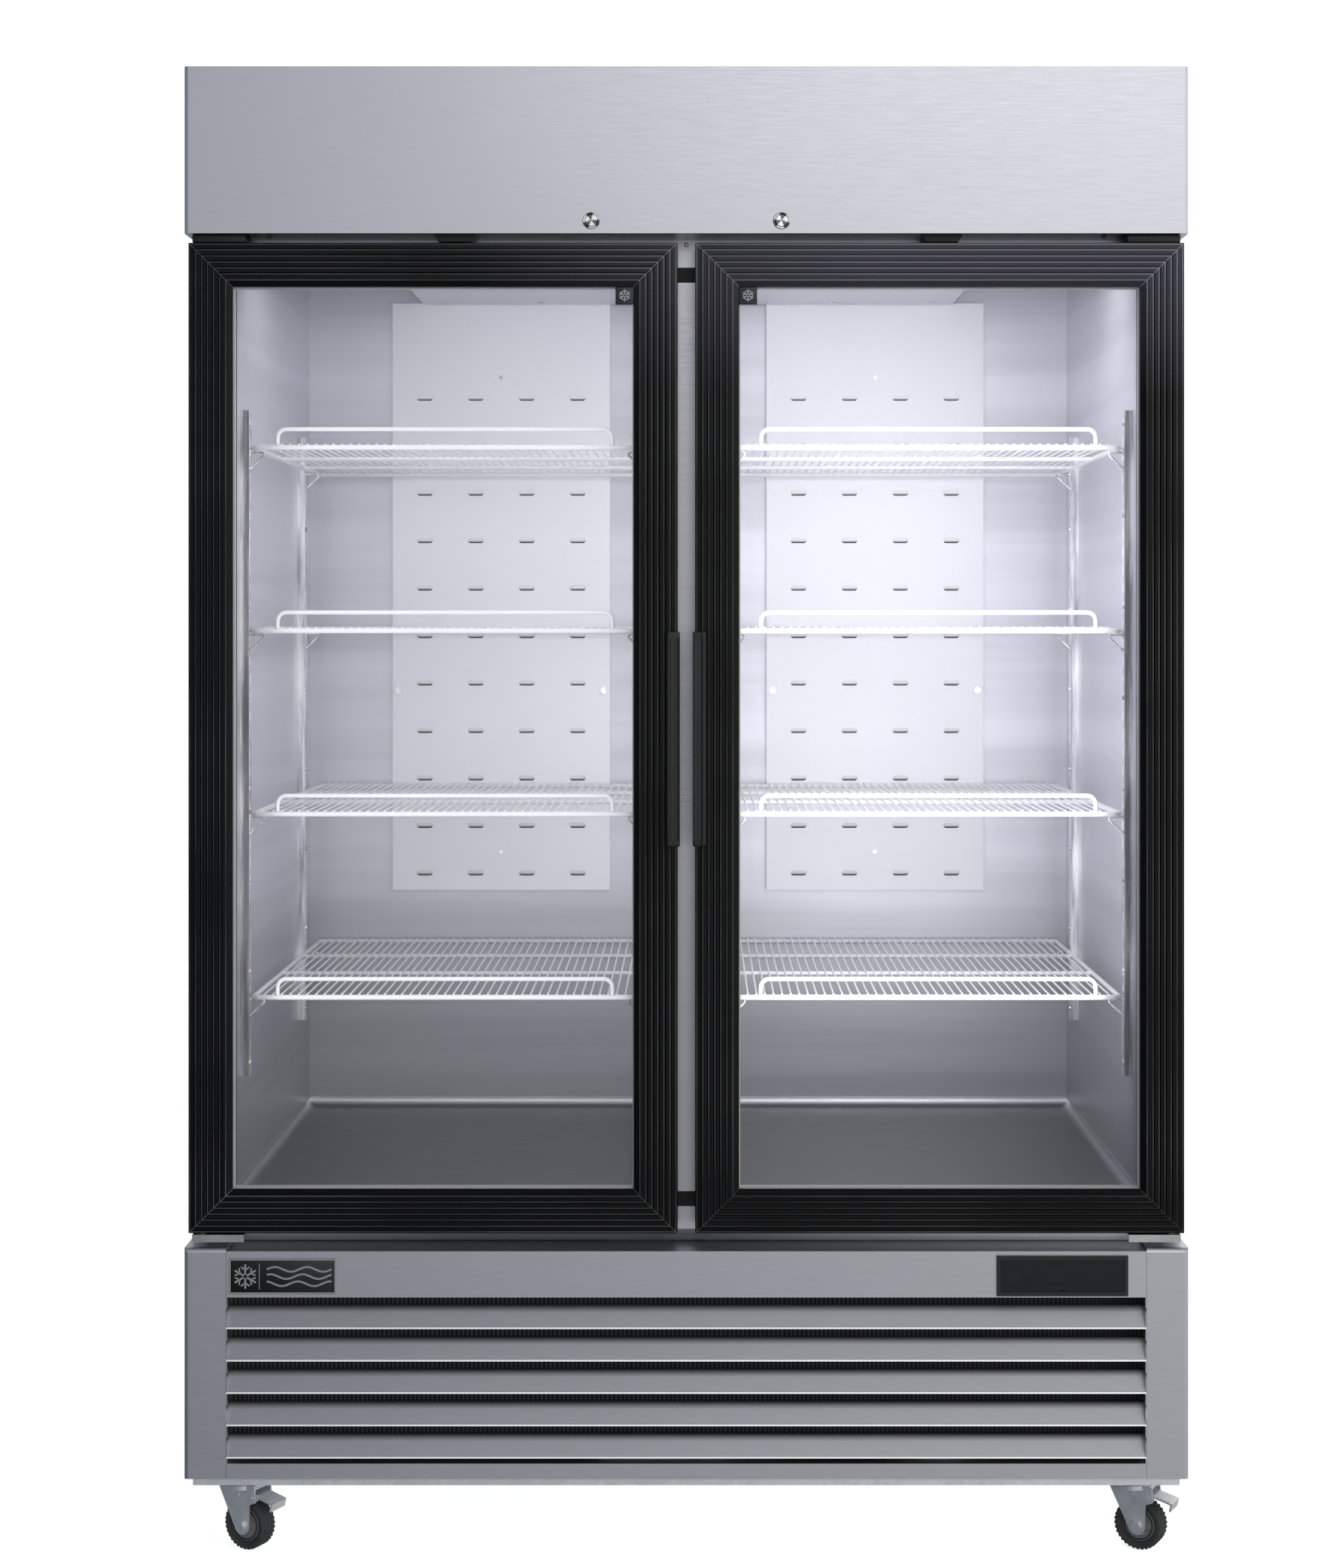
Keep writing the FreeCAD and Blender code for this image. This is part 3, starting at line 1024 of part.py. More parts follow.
def caster_places():
    turn = Rotation(Z_AXIS, dim("caster_turn"))
    spots = {}
    for row, y in (("front", -dim("caster_front")), ("rear", dim("caster_rear"))):
        for name, side in SIDES.items():
            spots[f"{row}_{name}"] = Placement(Vector(side * dim("caster_x"), y, 0), turn)
    return spots


def make_caster_plates():
    """Bolted top plates with the upper ball race and the kingpin."""
    top, half, skin = dim("pan_low"), dim("caster_plate") / 2, dim("caster_plate_skin")
    race_low, pin_low = dim("fork_top") + dim("running_gap"), dim("kingpin_low")
    crown_low = dim("fork_top") - dim("crown_skin")
    plate = Part.makeBox(2 * half, 2 * half, skin, Vector(-half, -half, top - skin))
    race = Part.makeCone(24, 30, top - skin - race_low, Vector(0, 0, race_low))
    kingpin = Part.makeCylinder(dim("kingpin_radius"), top - skin - pin_low, Vector(0, 0, pin_low))
    head = Part.makeCylinder(10, crown_low - dim("running_gap") - pin_low, Vector(0, 0, pin_low))
    bolts = [hexagon(10, 4, Vector(dx * 36, dy * 36, top - skin - 4), Z_AXIS)
             for dx in (-1, 1) for dy in (-1, 1)]
    whole = plate.multiFuse([race, kingpin, head] + bolts)
    spots = [Placement(p.Base, Rotation()) for p in caster_places().values()]
    return copies("caster_plates", whole, spots)


def make_caster_forks():
    """Pressed fork: a dished top, two slanted legs, the pedal's pivot pin and the axle bolt."""
    top, inner, skin = dim("fork_top"), dim("fork_inner") / 2, dim("fork_skin")
    trail, axle_height, boss = dim("trail"), dim("wheel_radius"), dim("axle_boss")
    crown_skin = dim("crown_skin")
    crown = Part.makeCylinder(30, crown_skin, Vector(0, 0, top - crown_skin))
    bridge = Part.makeBox(56, 2 * (inner + skin), crown_skin, Vector(-22, -inner - skin, top - crown_skin))
    outline = [(-27, top - 1), (36, top - 1), (37, 70), (27, 66), (trail + boss, axle_height),
               (trail, axle_height - boss), (trail - boss, axle_height - 2)]
    pivot_x, pivot_z, pin = dim("pedal_pivot_x"), dim("pedal_pivot_height"), dim("pedal_pin_radius")
    legs = []
    for side in (-1, 1):
        y = inner if side > 0 else -inner - skin
        corners = [Vector(px, y, pz) for px, pz in outline]
        legs.append(Part.Face(Part.makePolygon(corners + corners[:1])).extrude(Y_AXIS * skin))
        legs.append(Part.makeCylinder(boss, skin, Vector(trail, y, axle_height), Y_AXIS))
        rivet_y = side * (inner + skin)
        legs += [Part.makeCylinder(dim("rivet_radius"), 1.4, Vector(px, rivet_y, pz), Y_AXIS * side)
                 for px, pz in ((8, 78), (pivot_x, pivot_z))]
    body = crown.multiFuse([bridge] + legs)
    axle_radius = dim("axle_radius")
    body = body.cut([
        Part.makeCylinder(dim("kingpin_radius") + dim("running_fit"), 20, Vector(0, 0, top - 15)),
        Part.makeCylinder(axle_radius, 80, Vector(trail, -40, axle_height), Y_AXIS)])
    pin_shape = Part.makeCylinder(pin, 2 * inner, Vector(pivot_x, -inner, pivot_z), Y_AXIS)
    reach, end = inner + skin, 4
    axle = Part.makeCylinder(axle_radius, 2 * (reach + end), Vector(trail, -reach - end, axle_height), Y_AXIS)
    axle = axle.multiFuse([hexagon(13, 5, Vector(trail, reach, axle_height), Y_AXIS),
                           hexagon(13, 5.5, Vector(trail, -reach, axle_height), -Y_AXIS)])
    forks = []
    for name, place in caster_places().items():
        members = [body] if name.startswith("rear") else [body.fuse(pin_shape)]
        whole = Part.makeCompound(members + [axle])
        forks.append(feature(f"caster_fork_{name}", whole.transformed(place.toMatrix(), True)))
    return forks


def make_caster_wheels():
    """A spoked hub that runs on the axle, and its tyre."""
    radius, width, hub = dim("wheel_radius"), dim("wheel_width"), dim("hub_radius")
    middle = Vector(dim("trail"), 0, radius)

    def disc(r, w):
        return Part.makeCylinder(r, w, middle - Y_AXIS * (w / 2), Y_AXIS)

    core = disc(hub, width - 4)
    for side in (-1, 1):
        start = middle + Y_AXIS * (side * (width / 2 - 2))
        core = core.cut(Part.makeCylinder(hub - 3, 7, start, Y_AXIS * -side))
    boss = disc(dim("hub_boss"), width + 5)
    spokes = [Part.makeBox(hub - 6, 16, 3.4, middle + Vector(5, -8, -1.7)) for _ in range(6)]
    for k, spoke in enumerate(spokes):
        spoke.rotate(middle, Y_AXIS, k * 60)
    core = core.multiFuse([boss] + spokes).cut(disc(dim("axle_radius") + dim("running_fit"), 40))
    tyre = disc(radius, width)
    rims = [edge for edge in tyre.Edges if edge.BoundBox.YLength < 0.01]
    tyre = tyre.makeFillet(dim("tyre_round"), rims).cut(disc(hub, width + 2))
    whole = Part.makeCompound([core, tyre])
    return [feature(f"caster_wheel_{name}", whole.transformed(place.toMatrix(), True))
            for name, place in caster_places().items()]


def make_brake_pedals():
    """Ribbed brake pedal that pivots between the fork's legs."""
    x, z, pin = dim("pedal_pivot_x"), dim("pedal_pivot_height"), dim("pedal_pin_radius")
    half, length, skin = dim("fork_inner") / 2 - 1, dim("pedal_length"), 2.5
    tread = Part.makeBox(length, 2 * half, skin, Vector(0, -half, 0))
    ribs = [Part.makeBox(2, 2 * half - 4, 1.2, Vector(12 + k * 5, -half + 2, skin)) for k in range(5)]
    tip = Part.makeBox(skin, 2 * half, 9, Vector(length - skin, -half, -9))
    plate = tread.multiFuse(ribs + [tip])
    plate.rotate(Vector(), Y_AXIS, dim("pedal_slope"))
    plate.translate(Vector(x - 5, 0, z + 3))
    ears = [Part.makeBox(13, skin, 9, Vector(x - 5, y, z - 4.5)) for y in (-half, half - skin)]
    whole = plate.multiFuse(ears)
    whole = whole.cut(Part.makeCylinder(pin + dim("running_fit"), 60, Vector(x, -30, z), Y_AXIS))
    return [feature(f"brake_pedal_{name}", whole.transformed(place.toMatrix(), True))
            for name, place in caster_places().items() if name.startswith("front")]


# ---------------------------------------------------------------- build, check and write

nodes = [make_outer_wrapper(), make_back_panel(), make_foam(), make_inner_liner(), make_floor_pan(),
         make_face_frame(), make_breaker_strip(), make_pilasters(), make_shelf_clips(), *make_shelves(),
         make_air_ducts(), make_panel_screws(), make_evaporator_housing(), make_evaporator_coil(),
         make_evaporator_fan(), make_led_lamps(), make_condenser(), make_condenser_fan(), make_compressor(),
         make_header_panel(), make_lock_housings(), *make_lock_cams(), make_hinge_brackets(),
         make_door_switches(), *make_door_frames(), *make_glass_units(), *make_gaskets(), *make_handles(),
         make_louver_panel(), make_base_covers(), make_nameplate(), *make_controls(), make_base_pan(),
         make_rear_grille(), make_cord_gland(), make_caster_plates(), *make_caster_forks(),
         *make_caster_wheels(), *make_brake_pedals()]
for node in nodes:
    node.Label = node.Name
doc.recompute()

for thing in doc.Objects:
    if {"Invalid", "Error"} & set(thing.State):
        raise RuntimeError(f"{thing.Name} failed: {thing.State}")
for node in nodes:
    if node.Shape.isNull() or not node.Shape.isValid() or not node.Shape.Solids:
        raise RuntimeError(f"{node.Label} has no valid solid")

os.makedirs("parts", exist_ok=True)
for node in nodes:
    node.Shape.exportStep(f"parts/{node.Label}.step")
    size = node.Shape.BoundBox
    spans = f"{size.XLength:.1f} x {size.YLength:.1f} x {size.ZLength:.1f}"
    print(f"{node.Label}: {len(node.Shape.Solids)} solids, {spans}")
print(len(nodes), "nodes")
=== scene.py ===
"""Two-door glass merchandiser refrigerator: looks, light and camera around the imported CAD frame."""

import json
import math

import bmesh
import bpy
from mathutils import Matrix, Vector


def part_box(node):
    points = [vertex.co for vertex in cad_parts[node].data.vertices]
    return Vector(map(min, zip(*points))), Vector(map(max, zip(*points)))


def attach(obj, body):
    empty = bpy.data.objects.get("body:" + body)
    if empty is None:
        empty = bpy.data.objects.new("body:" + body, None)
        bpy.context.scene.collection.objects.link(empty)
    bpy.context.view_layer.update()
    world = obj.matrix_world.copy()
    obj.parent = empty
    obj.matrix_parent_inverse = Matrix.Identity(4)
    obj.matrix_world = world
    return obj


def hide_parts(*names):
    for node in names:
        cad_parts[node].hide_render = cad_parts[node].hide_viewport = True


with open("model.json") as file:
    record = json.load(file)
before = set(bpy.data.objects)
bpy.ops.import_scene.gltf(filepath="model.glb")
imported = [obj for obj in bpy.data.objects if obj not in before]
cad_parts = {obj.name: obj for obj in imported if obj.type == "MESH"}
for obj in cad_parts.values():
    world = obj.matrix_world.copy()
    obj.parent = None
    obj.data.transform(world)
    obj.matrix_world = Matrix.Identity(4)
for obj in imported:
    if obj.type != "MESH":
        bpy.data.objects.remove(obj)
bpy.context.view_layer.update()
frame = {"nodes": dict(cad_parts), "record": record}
nodes = frame["nodes"]
joints = {joint["name"]: joint for joint in frame["record"]["behaviour"]["joints"]}
scene = bpy.context.scene
SIDES = {"left": -1, "right": 1}
CORNERS = ("front_left", "front_right", "rear_left", "rear_right")
MM = 0.001

# stretch of the brush marks: upright sheet rolled along X or down Z, and level sheet
ALONG_X, DOWN_Z, LEVEL_X = (26, 26, 1500), (900, 900, 14), (26, 1500, 26)
CABINET = (0.575, 0.575, 0.625)
LINER = (0.68, 0.68, 0.74)

# door rail, in millimetres: its width, its low outer step and the spacing of its ribs
RAIL_WIDTH, STEP_WIDTH, RIB_PITCH = 60.0, 9.0, 8.2
# grille: height of the first slat above the panel's foot, spacing and count of slats, rolled edge
FIRST_SLAT, SLAT_PITCH, SLAT_COUNT, LIP = 29 * MM, 44.2 * MM, 5, 1.5 * MM
# air ducts: depth of the first row of slots below the top, spacing and count of rows
FIRST_ROW, ROW_PITCH, ROW_COUNT = 156 * MM, 78.3 * MM, 11
# edges sharper than this many degrees aren't shaded smooth
SHARP = 32


# ---------------------------------------------------------------- shader helpers

class Shader:
    """A Principled material and short ways to add nodes to it."""

    def __init__(self, name, **sockets):
        self.material = bpy.data.materials.new(name)
        self.material.use_nodes = True
        self.tree = self.material.node_tree
        self.surface = self.tree.nodes["Principled BSDF"]
        for label, value in sockets.items():
            socket = self.surface.inputs[label.replace("_", " ")]
            socket.default_value = (*value, 1) if isinstance(value, tuple) and len(value) == 3 else value
        self._place = None

    def node(self, kind, **settings):
        made = self.tree.nodes.new("ShaderNode" + kind)
        for key, value in settings.items():
            setattr(made, key, value)
        return made

    def wire(self, out, target):
        self.tree.links.new(out, target)

    def place(self, scale=(1, 1, 1)):
        """Object coordinates, in metres in the row frame, stretched by scale."""
        if self._place is None:
            self._place = self.node("TexCoord").outputs["Object"]
        mapping = self.node("Mapping")
        mapping.inputs["Scale"].default_value = scale
        self.wire(self._place, mapping.inputs["Vector"])
        return mapping.outputs["Vector"]

    def noise(self, scale, detail, rough=0.55):
        made = self.node("TexNoise")
        made.inputs["Scale"].default_value = 1.0
        made.inputs["Detail"].default_value = detail
        made.inputs["Roughness"].default_value = rough
        self.wire(self.place(scale), made.inputs["Vector"])
        return made.outputs["Fac"]

    def ramp(self, factor, stops):
        """stops are (position, grey or colour)."""
        made = self.node("ValToRGB")
        elements = made.color_ramp.elements
        while len(elements) < len(stops):
            elements.new(0.5)
        for element, (position, colour) in zip(elements, stops):
            element.position = position
            element.color = (*colour, 1) if isinstance(colour, tuple) else (colour, colour, colour, 1)
        self.wire(factor, made.inputs["Fac"])
        return made.outputs["Color"]

    def span(self, value, low, high, from_low=0.0, from_high=1.0):
        """Maps from_low to low and from_high to high, and holds the value between them."""
        made = self.node("MapRange")
        limits = {"From Min": from_low, "From Max": from_high, "To Min": low, "To Max": high}
        for key, number in limits.items():
            made.inputs[key].default_value = number
        self.wire(value, made.inputs["Value"])
        return made.outputs["Result"]

    def math(self, operation, a, b=None):
        made = self.node("Math", operation=operation)
        for socket, value in zip(made.inputs, (a, b)):
            if value is None:
                continue
            if isinstance(value, (int, float)):
                socket.default_value = value
            else:
                self.wire(value, socket)
        return made.outputs[0]

    def mix(self, factor, a, b, blend="MIX"):
        made = self.node("Mix", data_type="RGBA", blend_type=blend)
        if isinstance(factor, (int, float)):
            made.inputs[0].default_value = factor
        else:
            self.wire(factor, made.inputs[0])
        for socket, value in ((made.inputs[6], a), (made.inputs[7], b)):
            if isinstance(value, tuple):
                socket.default_value = (*value, 1)
            else:
                self.wire(value, socket)
        return made.outputs[2]

    def facing(self, axis):
        """How squarely the surface faces along an axis of the row frame, 0 to 1."""
        split = self.node("SeparateXYZ")
        self.wire(self.node("NewGeometry").outputs["Normal"], split.inputs[0])
        return self.math("ABSOLUTE", split.outputs["XYZ".index(axis)])

    def coordinate(self, axis):
        split = self.node("SeparateXYZ")
        self.wire(self.place(), split.inputs[0])
        return split.outputs["XYZ".index(axis)]

    def bump(self, height, depth):
        """depth is the height of the relief in metres."""
        made = self.node("Bump")
        made.inputs["Strength"].default_value = 1.0
        made.inputs["Distance"].default_value = depth
        self.wire(height, made.inputs["Height"])
        self.wire(made.outputs["Normal"], self.surface.inputs["Normal"])

    def colour(self, out):
        self.wire(out, self.surface.inputs["Base Color"])

    def roughness(self, out):
        self.wire(out, self.surface.inputs["Roughness"])


def tinted(colour, factor):
    return tuple(min(1.0, c * factor) for c in colour)


def brushed_steel(name, colour, grain, rough=(0.30, 0.42), spread=0.06, relief=6e-6, metallic=1.0,
                  over=None):
    """Brushed sheet. grain stretches the marks on upright faces, and over may change the base colour."""
    s = Shader(name, Metallic=metallic)
    upright = s.noise(grain, detail=4, rough=0.6)
    level = s.noise(LEVEL_X, detail=4, rough=0.6)
    steps = s.math("GREATER_THAN", s.facing("Z"), 0.7)
    marks = s.mix(steps, upright, level)
    cloud = s.noise((1.3, 1.3, 1.7), detail=2)
    shade = s.mix(0.35, marks, cloud)
    base = s.ramp(shade, [(0.30, tinted(colour, 1 - spread)), (0.70, tinted(colour, 1 + spread))])
    s.colour(over(s, base) if over else base)
    s.roughness(s.span(marks, rough[0], rough[1], 0.3, 0.7))
    s.bump(marks, relief)
    return s.material


def moulded(name, colour, rough, spread=0.12, relief=2e-5, pitch=1600):
    """Moulded plastic with a fine spark-eroded texture."""
    s = Shader(name)
    grain = s.noise((pitch, pitch, pitch), detail=2)
    wear = s.noise((9, 9, 9), detail=4)
    s.colour(s.ramp(wear, [(0.3, tinted(colour, 1 - spread)), (0.7, tinted(colour, 1 + spread))]))
    s.roughness(s.span(s.mix(0.5, grain, wear), rough - 0.06, rough + 0.06, 0.35, 0.65))
    s.bump(grain, relief)
    return s.material


def plated(name, colour, rough, mottle=40.0, spread=0.12, relief=8e-6, metallic=1.0, over=None):
    """Zinc or chrome plate with a faint mottle, whose base colour over may change."""
    s = Shader(name, Metallic=metallic)
    spangle = s.noise((mottle, mottle, mottle), detail=3)
    fine = s.noise((900, 900, 900), detail=2)
    base = s.ramp(spangle, [(0.32, tinted(colour, 1 - spread)), (0.68, tinted(colour, 1 + spread * 0.6))])
    s.colour(over(s, base) if over else base)
    s.roughness(s.span(s.mix(0.4, spangle, fine), rough * 0.8, rough * 1.3, 0.3, 0.7))
    s.bump(fine, relief)
    return s.material


def galvanised(name, colour):
    """Zinc sheet with a spangle of grains."""
    s = Shader(name, Metallic=0.85)
    cells = s.node("TexVoronoi", feature="F1", distance="MINKOWSKI")
    cells.inputs["Scale"].default_value = 1.0
    s.wire(s.place((70, 70, 70)), cells.inputs["Vector"])
    split = s.node("SeparateColor")
    s.wire(cells.outputs["Color"], split.inputs[0])
    cloud = s.noise((5, 5, 5), detail=3)
    shade = s.mix(0.5, split.outputs[0], cloud)
    s.colour(s.ramp(shade, [(0.2, tinted(colour, 0.9)), (0.8, tinted(colour, 1.06))]))
    s.roughness(s.span(split.outputs[1], 0.34, 0.5))
    s.bump(cloud, 1e-5)
    return s.material


def coated_wire(name):
    """White epoxy powder coat: thick, glossy, faintly wavy."""
    s = Shader(name, Coat_Weight=0.5, Coat_Roughness=0.08, Specular_IOR_Level=0.5)
    peel = s.noise((260, 260, 260), detail=2)
    cloud = s.noise((7, 7, 7), detail=3)
    s.colour(s.ramp(cloud, [(0.3, (0.80, 0.815, 0.835)), (0.7, (0.86, 0.87, 0.885))]))
    s.roughness(s.span(peel, 0.28, 0.40, 0.3, 0.7))
    s.bump(peel, 4e-5)
    return s.material


def painted_sheet(name, colour, rough=0.35, spread=0.03):
    """Enamel with a slight orange peel."""
    s = Shader(name, Specular_IOR_Level=0.5)
    peel = s.noise((420, 420, 420), detail=2)
    cloud = s.noise((2.2, 2.2, 2.2), detail=3)
    s.colour(s.ramp(cloud, [(0.3, tinted(colour, 1 - spread)), (0.7, tinted(colour, 1 + spread))]))
    s.roughness(s.span(peel, rough - 0.05, rough + 0.05, 0.3, 0.7))
    s.bump(peel, 1e-5)
    return s.material


def pane_glass(name, tint, alpha):
    """Clear sheet that lets most of the light straight through."""
    s = Shader(name, Base_Color=tint, Alpha=alpha, IOR=1.5, Specular_IOR_Level=0.5)
    s.roughness(s.span(s.noise((3, 3, 3), detail=2), 0.02, 0.05))
    s.material.blend_method = "BLEND"
    return s.material


def rubber(name, colour, rough=0.75):
    """Dull rubber with a little dust."""
    s = Shader(name, Specular_IOR_Level=0.3)
    grain = s.noise((900, 900, 900), detail=3)
    dust = s.noise((26, 26, 26), detail=4)
    s.colour(s.ramp(dust, [(0.35, tinted(colour, 0.85)), (0.7, tinted(colour, 1.3))]))
    s.roughness(s.span(grain, rough - 0.08, rough + 0.08, 0.3, 0.7))
    s.bump(grain, 5e-5)
    return s.material


def coved_floor(name, colour, floor_z):
    """Darker floor sheet with a painted highlight on its upturned edges."""
    s = Shader(name, Metallic=1.0)
    marks = s.noise(LEVEL_X, detail=4, rough=0.6)
    cloud = s.noise((2.4, 2.4, 2.4), detail=3)
    # painted highlight on the upturned cove, from just above the floor
    rise = s.span(s.coordinate("Z"), 0.0, 1.0, floor_z + 2 * MM, floor_z + 12 * MM)
    flat = s.ramp(s.mix(0.5, marks, cloud), [(0.3, tinted(colour, 0.9)), (0.7, tinted(colour, 1.1))])
    s.colour(s.mix(rise, flat, (0.72, 0.72, 0.75)))
    s.roughness(s.span(marks, 0.30, 0.44, 0.3, 0.7))
    s.bump(marks, 8e-6)
    return s.material


def louvred_steel(name, colour, foot):
    """Brushed sheet with painted shade on each slat under the slat above, and painted highlights, glowing
    faintly, on their rolled edges.
    """
    low = foot + FIRST_SLAT

    def painted_slat_light(s, base):
        z = s.coordinate("Z")
        step = s.math("FRACT", s.math("DIVIDE", s.math("SUBTRACT", z, low - LIP), SLAT_PITCH))
        # painted shade: each slat darkens just under the slat above it
        shade = s.ramp(step, [(0.0, 1.0), (0.46, 1.0), (0.64, 0.08), (0.65, 1.0)])
        slats = s.math("MULTIPLY", s.math("GREATER_THAN", z, low - LIP),
                       s.math("LESS_THAN", z, low + SLAT_PITCH * (SLAT_COUNT - 0.36)))
        # painted highlight on each rolled edge, white and faintly glowing
        lip_highlight = s.math("MULTIPLY", slats, s.math("LESS_THAN", step, 1.7 * LIP / SLAT_PITCH))
        s.surface.inputs["Emission Color"].default_value = (1, 1, 1, 1)
        s.wire(s.math("MULTIPLY", lip_highlight, 0.25), s.surface.inputs["Emission Strength"])
        return s.mix(lip_highlight, s.mix(slats, base, s.mix(1.0, base, shade, "MULTIPLY")), (1.0, 1.0, 1.0))
    return brushed_steel(name, colour, ALONG_X, over=painted_slat_light)


def ribbed_trim(name, colour, low, high):
    """Black moulding of the door rails, with painted highlights on its rib edges and mitres and a painted
    sheen, both brightest high on the right.

    low and high are the corners of the right door's frame.
    """
    s = Shader(name, Specular_IOR_Level=0.16)
    x, z = s.coordinate("X"), s.coordinate("Z")
    wide = s.math("ABSOLUTE", x)
    from_stile = s.math("MINIMUM", s.math("SUBTRACT", wide, low[0]), s.math("SUBTRACT", high[0], wide))
    from_rail = s.math("MINIMUM", s.math("SUBTRACT", z, low[2]), s.math("SUBTRACT", high[2], z))
    inward = s.math("MINIMUM", from_stile, from_rail)
    past_step = s.math("SUBTRACT", inward, (STEP_WIDTH + 0.9) * MM)
    rib = s.math("FRACT", s.math("DIVIDE", past_step, RIB_PITCH * MM))
    mitre = s.math("LESS_THAN", s.math("ABSOLUTE", s.math("SUBTRACT", from_stile, from_rail)), 0.7 * MM)
    ribs = s.math("MULTIPLY", s.math("LESS_THAN", rib, 0.13),
                  s.math("LESS_THAN", inward, (RAIL_WIDTH - 6) * MM))
    # where the painted highlight lines go: rib edges and mitres
    edge = s.math("MAXIMUM", ribs, mitre)
    streak = s.noise((3, 3, 5), detail=3)
    # painted light high on the right: a lighter sheen on the fill and brighter highlight lines
    painted_light_high_right = s.math("MULTIPLY", s.span(x, 0.0, 1.0, -0.30, 0.25), s.span(z, 0.0, 1.0, 1.60, 1.78))
    fill = s.mix(s.math("MULTIPLY", painted_light_high_right, 0.7), colour, (0.085, 0.080, 0.110))
    line = s.mix(painted_light_high_right, s.ramp(streak, [(0.35, 0.035), (0.65, 0.13)]), (0.36, 0.35, 0.42))
    s.colour(s.mix(edge, fill, line))
    grain = s.noise((1600, 1600, 1600), detail=2)
    s.roughness(s.span(grain, 0.24, 0.34, 0.35, 0.65))
    s.bump(grain, 8e-6)
    return s.material


def lanced_flap(name, duct_top):
    """White flap with a painted highlight along its top and painted shade at its foot."""
    s = Shader(name, Specular_IOR_Level=0.4)
    rows = s.math("DIVIDE", s.math("SUBTRACT", s.coordinate("Z"), duct_top - FIRST_ROW), ROW_PITCH)
    height = s.math("FRACT", s.math("ADD", rows, ROW_COUNT + 1.5))
    # painted shade at the foot of each flap, fading to a painted highlight at its top
    s.colour(s.ramp(height, [(0.452, 0.02), (0.468, 0.10), (0.482, 0.55), (0.51, 1.0)]))
    s.roughness(s.span(s.noise((420, 420, 420), detail=2), 0.30, 0.42, 0.3, 0.7))
    return s.material


def shaded_wall(low, high):
    """Paints shade on a wall, darker towards its foot, and lays faint level bands across it."""
    def shade(s, base):
        # painted shade towards the foot of the wall
        foot = s.ramp(s.span(s.coordinate("Z"), 0.0, 1.0, low, high), [(0.0, 0.62), (0.5, 0.80), (1.0, 1.0)])
        bands = s.ramp(s.noise((0.5, 0.5, 15), detail=3, rough=0.6), [(0.36, 0.86), (0.60, 1.0)])
        return s.mix(1.0, s.mix(1.0, base, foot, "MULTIPLY"), bands, "MULTIPLY")
    return shade


def ringed_chrome(name, colour, centre):
    """Chrome with a painted reflection of dark and bright sectors on its turned faces. centre is the left
    lock's middle.
    """
    height, offset = centre[2], abs(centre[0])

    def sectors(s, base):
        across = s.math("SUBTRACT", s.math("ABSOLUTE", s.coordinate("X")), offset)
        turn = s.math("ARCTAN2", s.math("SUBTRACT", s.coordinate("Z"), height), across)
        wave = s.math("SINE", s.math("ADD", s.math("MULTIPLY", turn, 3.0), 0.6))
        # painted reflection: dark and bright sectors round the lock's middle
        shade = s.ramp(s.span(wave, 0.0, 1.0, -1.0, 1.0), [(0.25, 0.16), (0.6, 1.0)])
        return s.mix(1.0, base, shade, "MULTIPLY")
    return plated(name, colour, 0.14, over=sectors)


def sill_steel(name, low, high):
    """Steel below the doors, with painted light from the right, painted shade towards its foot, and a faint
    glow in the same painted colours.
    """
    s = Shader(name, Metallic=0.2, Emission_Strength=0.22)
    # painted light: dark on the left, brightest on the right
    across = s.ramp(s.span(s.coordinate("X"), 0.0, 1.0, -0.63, 0.63), [
        (0.0, (0.36, 0.38, 0.41)), (0.25, (0.17, 0.18, 0.20)), (0.5, (0.12, 0.13, 0.14)),
        (0.72, (0.45, 0.47, 0.50)), (1.0, (0.95, 0.97, 1.0))])
    # painted shade towards the foot
    foot = s.ramp(s.span(s.coordinate("Z"), 0.0, 1.0, low, high), [(0.3, 0.35), (0.75, 1.0)])
    marks = s.noise(ALONG_X, detail=4, rough=0.6)
    shade = s.mix(1.0, across, foot, "MULTIPLY")
    s.colour(shade)
    # the painted light and shade also glow faintly
    s.wire(shade, s.surface.inputs["Emission Color"])
    s.roughness(s.span(marks, 0.30, 0.42, 0.3, 0.7))
    s.bump(marks, 6e-6)
    return s.material


def drawn_channel(name, colour):
    """Chromed channel with painted reflection bands, dark and bright, along its length."""
    s = Shader(name, Metallic=0.7)
    painted_reflection_bands = s.noise((90, 90, 7), detail=3, rough=0.6)
    fine = s.noise((700, 700, 40), detail=2)
    # painted reflection: dark and bright bands along the channel
    s.colour(s.ramp(painted_reflection_bands, [(0.34, tinted(colour, 0.55)), (0.46, colour), (0.60, (1.0, 1.0, 1.0))]))
    s.roughness(s.span(fine, 0.12, 0.26, 0.3, 0.7))
    s.bump(fine, 6e-6)
    return s.material


# ---------------------------------------------------------------- looks

